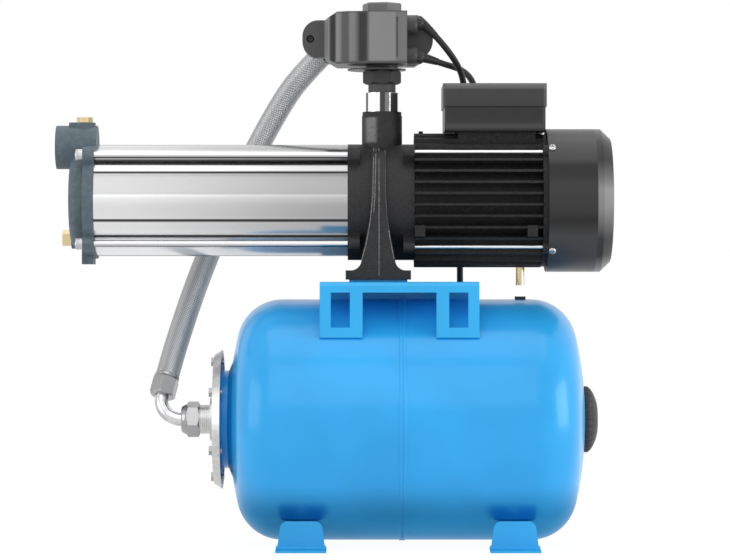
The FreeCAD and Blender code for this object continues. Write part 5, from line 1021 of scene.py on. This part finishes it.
class GlandOperator(Operator):
    """Adds the controller's two gland sockets, their fluted nuts and the strain reliefs"""
    bl_idname = "booster.glands"
    bl_label = "Cable glands"

    def execute(self, context):
        radius = context.scene.booster_sizes.cable / 2
        steps = 96
        flutes = 1 + 0.035 * np.cos(np.linspace(0, TURN, steps, endpoint=False) * GLAND_FLUTES)
        reliefs = []
        nuts = []
        for route in (CORD_ROUTE, LEAD_ROUTE):
            line, at = evenly(centre_line(route), RELIEF_STEP)
            line, at = line[:RELIEF_ROWS], at[:RELIEF_ROWS]
            taper = np.interp(at, [0, RELIEF_SHOULDER, (RELIEF_ROWS - 1) * RELIEF_STEP],
                              [RELIEF_RADIUS, RELIEF_SHOULDER_RADIUS, radius + RELIEF_CLEARANCE])
            ribs = taper + RELIEF_RIB * (np.arange(RELIEF_ROWS) % 4 < 2)
            reliefs.append(tube(line, at, ribs, steps=32)[0])

            place = Vector(route[0]) - Vector((GLAND_REACH, 0, 0))
            along, outline = profile(GLAND_NUT)
            girth = np.repeat(outline[:, None], steps, 1)
            girth[1:3] *= flutes
            nuts.append(around(place, X_AXIS, along, girth, steps))
        mesh_piece("strain_reliefs", reliefs, "station", "cable_rubber", sharp=50)
        mesh_piece("gland_nuts", nuts, "station", "black_nylon", sharp=50)

        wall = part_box("controller_body")[1].x
        sockets = [around((wall, GLAND_SIDE, height), X_AXIS, *profile(GLAND_SOCKET), steps=64)
                   for height in GLAND_HEIGHTS]
        mesh_piece("gland_sockets", sockets, "station", "rear_nylon", sharp=50)
        return {"FINISHED"}


class HoseOperator(Operator):
    """Weaves the braided hose between the tank and the controller, with its collar and swivel nuts"""
    bl_idname = "booster.hose"
    bl_label = "Hose"

    def execute(self, context):
        sizes = context.scene.booster_sizes
        line, at = evenly(centre_line(HOSE_ROUTE), HOSE_STEP)
        woven, chart = tube(line, at, sizes.hose / 2 - BRAID_CLEARANCE, HOSE_SIDES, TURN / 2 * sizes.hose)
        wire_braid("wire_braid", (0.72, 0.73, 0.74), sizes.carriers, sizes.carriers * 0.9)
        hose = mesh_piece("woven_hose", [woven], "station", "wire_braid", charts=[chart])
        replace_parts(hose, "braided_hose")
        collar = around(line[0], line[4] - line[0], *profile(HOSE_COLLAR), steps=HOSE_SIDES)
        mesh_piece("hose_collar", [collar], "station", "nut_plate")
        nuts = [hexagon_nut(end, end - inner, **HOSE_NUT)
                for end, inner in ((line[0], line[4]), (line[-1], line[-5]))]
        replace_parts(mesh_piece("swivel_nuts", nuts, "station", "nut_plate"), "hose_nuts")
        return {"FINISHED"}


class FittingOperator(Operator):
    """Cuts the threads and the hexagonal nuts of the fittings"""
    bl_idname = "booster.fittings"
    bl_label = "Fittings"

    def execute(self, context):
        pitch = context.scene.booster_sizes.pitch
        low, high = (corner.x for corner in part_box("tank_union_nut"))
        start = (high - THREAD_OVERLAP, 0, TANK_AXIS.z)
        nipple = screw_thread(start, X_AXIS, NIPPLE_LENGTH, NIPPLE_RADIUS, pitch, THREAD_DEPTH)
        mesh_piece("nipple_thread", [nipple], "station", "nut_plate", sharp=20)

        length = high - low - ELBOW_NUT_STEP
        body = hexagon_nut((low + ELBOW_NUT_STEP, 0, TANK_AXIS.z), X_AXIS, length=length, **ELBOW_NUT)
        cone = around((low, 0, TANK_AXIS.z), X_AXIS, *profile(ELBOW_CONE))
        nut = mesh_piece("elbow_nut", [body, cone], "station", "nut_plate")
        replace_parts(nut, "tank_union_nut")

        low, high = (corner.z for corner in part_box("union_nut"))
        ring = hexagon_nut((PORT_AXIS, 0, low), Z_AXIS, length=high - low, **UNION_NUT)
        nut = mesh_piece("black_union_nut", [ring], "station", "black_nylon")
        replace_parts(nut, "union_nut")
        return {"FINISHED"}


class FastenerOperator(Operator):
    """Makes the screw heads that show"""
    bl_idname = "booster.fasteners"
    bl_label = "Fasteners"

    def execute(self, context):
        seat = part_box("pump_tie_rods")[0].x + ROD_HEAD_SEAT
        spread = ROD_RING / math.sqrt(2)
        heads = [socket_screw((seat, y, PUMP_AXIS.z + rise), (-1, 0, 0), **ROD_HEAD)
                 for y in (-spread, spread) for rise in (-spread, spread)]
        mesh_piece("tie_rod_heads", heads, "station", "screw_steel")

        middle = centre_of("fan_cover_screws").x
        screws = []
        for corner in (1, 3, 5, 7):
            way = Vector((0, math.cos(TURN / 8 * corner), math.sin(TURN / 8 * corner)))
            place = Vector((middle, 0, PUMP_AXIS.z)) + COVER_SCREW_RING * way
            screws.append(cross_screw(place, way, **COVER_SCREW))
        screws = mesh_piece("cover_screw_heads", screws, "station", "screw_steel")
        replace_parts(screws, "fan_cover_screws")

        place = (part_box("controller_body")[0].x + EAR_INSET, EAR_FRONT, EAR_HEIGHT)
        ear = cross_screw(place, (0, -1, 0), **EAR_SCREW)
        mesh_piece("ear_screw", [ear], "station", "black_nylon")
        return {"FINISHED"}


class CastingOperator(Operator):
    """Adds the ridges of the cast bracket, in a lighter grey that stands for worn paint and painted
    highlights along its edges
    """
    bl_idname = "booster.casting"
    bl_label = "Casting ridges"

    def execute(self, context):
        """Each ridge is a tube along the line where its front view meets the casting, eased in depth."""
        ridges = []
        for corners in RIDGES:
            points = np.array(corners)
            share = np.linspace(0, len(points) - 1, RIDGE_ROWS)
            x, z = (np.interp(share, np.arange(len(points)), points[:, i]) for i in (0, 1))
            line = np.array([spot for spot in on_front("discharge_casing", zip(x, z)) if spot])
            padded = np.pad(line[:, 1], RIDGE_BLUR // 2, mode="edge")
            line[:, 1] = np.convolve(padded, np.full(RIDGE_BLUR, 1 / RIDGE_BLUR), mode="valid")
            ridges.append(tube(line, np.zeros(len(line)), RIDGE_RADIUS, steps=10)[0])
        mesh_piece("casting_ridges", ridges, "station", "worn_and_highlit_casting", sharp=180)
        return {"FINISHED"}


class CapOperator(Operator):
    """Shapes the grip of the air valve's cap"""
    bl_idname = "booster.valve_cap"
    bl_label = "Valve cap"

    def execute(self, context):
        """The girth falls from the rim to the crown on a rounded curve, and its teeth fade out on the way."""
        low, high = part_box("air_valve_cap")
        depth = high.x - low.x
        rim = (high.y - low.y) / 2
        steps = 192
        share = np.linspace(0, 1, 20)
        outside = rim * (CAP_CROWN + (1 - CAP_CROWN) * (1 - share ** 2.2) ** 0.75)
        angle = np.linspace(0, TURN, steps, endpoint=False)
        teeth = 0.03 * np.clip(np.cos(angle * CAP_TEETH) * 1.6, -1, 1)
        grip = 1 - teeth[None] * np.clip(1.2 - share * 1.5, 0, 1)[:, None]
        skirt = np.minimum(outside[:, None] * grip, rim)
        crown = np.outer([0.36, 0.34, 0], np.full(steps, rim))
        hollow = np.outer([0, 0.34, 0.66, 0.9], np.full(steps, rim))
        girth = np.concatenate([skirt, crown, hollow, skirt[:1]])
        dish = depth - CAP_RECESS
        inner = dish - CAP_WALL
        along = np.concatenate([share * depth, [depth, dish, dish, inner, inner, depth * 0.6, 0, 0]])
        cap = around((low.x, 0, TANK_AXIS.z), X_AXIS, along, girth, steps)
        piece = mesh_piece("valve_cap_grip", [cap], "valve_cap", "black_nylon")
        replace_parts(piece, "air_valve_cap")
        return {"FINISHED"}


class SeamOperator(Operator):
    """Runs the weld seam round the tank"""
    bl_idname = "booster.seam"
    bl_label = "Seam"

    def execute(self, context):
        """The bead's height is a parabola across it, plus ripples that lag at its sides."""
        low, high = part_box("tank_left_half")
        radius = (high.z - low.z) / 2 - SEAM_MARGIN
        ripples = int(TURN * radius / context.scene.booster_sizes.seam_ripple)
        steps = ripples * 4
        angle = np.linspace(0, TURN, steps, endpoint=False)
        across = np.linspace(-1, 1, 9)
        ripple = 0.5 + 0.5 * np.sin(angle[None] * ripples - 2.2 * np.abs(across[:, None]))
        crown = 1 - across[:, None] ** 2
        girth = radius - SEAM_SINK + crown * (SEAM_RISE + SEAM_RIPPLE_RISE * ripple)
        centre = (high.x, 0, (low.z + high.z) / 2)
        bead = around(centre, X_AXIS, across * SEAM_HALF_WIDTH, girth, steps)
        mesh_piece("weld_seam", [bead], "station", "tank_paint", sharp=180)
        return {"FINISHED"}


class StageOperator(Operator):
    """Sets up the camera, the floor and the soft studio light"""
    bl_idname = "booster.stage"
    bl_label = "Stage"

    def execute(self, context):
        scene = context.scene
        scene.view_settings.view_transform = "Standard"
        camera = bpy.data.objects.new("camera", bpy.data.cameras.new("camera"))
        scene.collection.objects.link(camera)
        camera.data.lens = CAMERA_LENS
        camera.data.sensor_width = SENSOR_WIDTH
        camera.data.clip_end = VIEW_END
        camera.location = CAMERA_PLACE
        camera.rotation_euler = (math.pi / 2, 0, 0)
        scene.camera = camera

        floor = bpy.data.objects.new("floor", bpy.data.meshes.new("floor"))
        corners = [(FLOOR_HALF * x, FLOOR_HALF * y, 0) for x, y in ((-1, -1), (1, -1), (1, 1), (-1, 1))]
        floor.data.from_pydata(corners, [], [(0, 1, 2, 3)])
        floor.location.z = -FLOOR_DROP
        scene.collection.objects.link(floor)
        floor.data.materials.append(pale_floor())
        studio_world(scene)
        for name, place, size, power in LAMPS:
            lamp(name, place, size, power)
        return {"FINISHED"}


def seen_directly(shading):
    """One where a surface is seen by the camera, in a mirror or through glass."""
    path = shading.node("ShaderNodeLightPath", {}, {})
    seen, mirrored, through = shading.outputs(path, "Is Camera Ray", "Is Glossy Ray", "Is Transmission Ray")
    return seen.most(mirrored).most(through)


def pale_floor():
    """A white floor that shows bright to the camera and keeps a faint shadow."""
    surface = Surface("pale_floor")
    matte = surface.node("ShaderNodeBsdfDiffuse", {}, {"Color": (FLOOR_TONE, FLOOR_TONE, FLOOR_TONE, 1)})
    glow = surface.node("ShaderNodeEmission", {}, {"Color": (1, 1, 1, 1), "Strength": FLOOR_GLOW})
    share = seen_directly(surface) * GLOW_SHARE
    surface.show(surface.node("ShaderNodeMixShader", {}, [share, matte, glow]))
    return surface.material


def studio_world(scene):
    """Even white light; the camera and mirrors see full white."""
    world = bpy.data.worlds.new("studio")
    scene.world = world
    world.use_nodes = True
    shading = Shading(world.node_tree)
    background = shading.tree.nodes["Background"]
    background.inputs["Color"].default_value = (1, 1, 1, 1)
    values = {"Value": seen_directly(shading), "To Min": WORLD_LIGHT, "To Max": 1.0}
    strength = shading.node("ShaderNodeMapRange", {}, values)
    shading.tree.links.new(strength.socket, background.inputs["Strength"])


def lamp(name, place, size, power):
    """A square soft lamp that faces the middle of the object."""
    light = bpy.data.lights.new(name, "AREA")
    light.size = size
    light.energy = power
    thing = bpy.data.objects.new(name, light)
    bpy.context.scene.collection.objects.link(thing)
    thing.location = place
    thing.rotation_euler = (Vector(LAMP_AIM) - Vector(place)).to_track_quat("-Z", "Y").to_euler()


MAKERS = (StageOperator, FinishOperator, CordOperator, GlandOperator, HoseOperator, FittingOperator,
          FastenerOperator, CastingOperator, CapOperator, SeamOperator)


class BoosterPanel(Panel):
    """Lists the makers of the pieces, the sizes and the colours"""
    bl_idname = "VIEW3D_PT_booster"
    bl_label = "Booster Pump Station"
    bl_space_type = "VIEW_3D"
    bl_region_type = "UI"
    bl_category = "Booster"

    def draw(self, context):
        for maker in MAKERS:
            self.layout.operator(maker.bl_idname)
        for group in (context.scene.booster_sizes, context.scene.booster_colours):
            for name in group.bl_rna.properties.keys():
                if name not in ("rna_type", "name"):
                    self.layout.prop(group, name)


CLASSES = (BoosterSizes, BoosterColours, *MAKERS, BoosterPanel)


def register():
    for cls in CLASSES:
        bpy.utils.register_class(cls)
    bpy.types.Scene.booster_sizes = PointerProperty(type=BoosterSizes)
    bpy.types.Scene.booster_colours = PointerProperty(type=BoosterColours)


def unregister():
    del bpy.types.Scene.booster_colours
    del bpy.types.Scene.booster_sizes
    for cls in reversed(CLASSES):
        bpy.utils.unregister_class(cls)


def main():
    """Makes every piece in order."""
    register()
    bpy.ops.booster.stage()
    bpy.ops.booster.finishes()
    bpy.ops.booster.cords()
    bpy.ops.booster.glands()
    bpy.ops.booster.hose()
    bpy.ops.booster.fittings()
    bpy.ops.booster.fasteners()
    bpy.ops.booster.casting()
    bpy.ops.booster.valve_cap()
    bpy.ops.booster.seam()


if __name__ == "__main__":
    main()
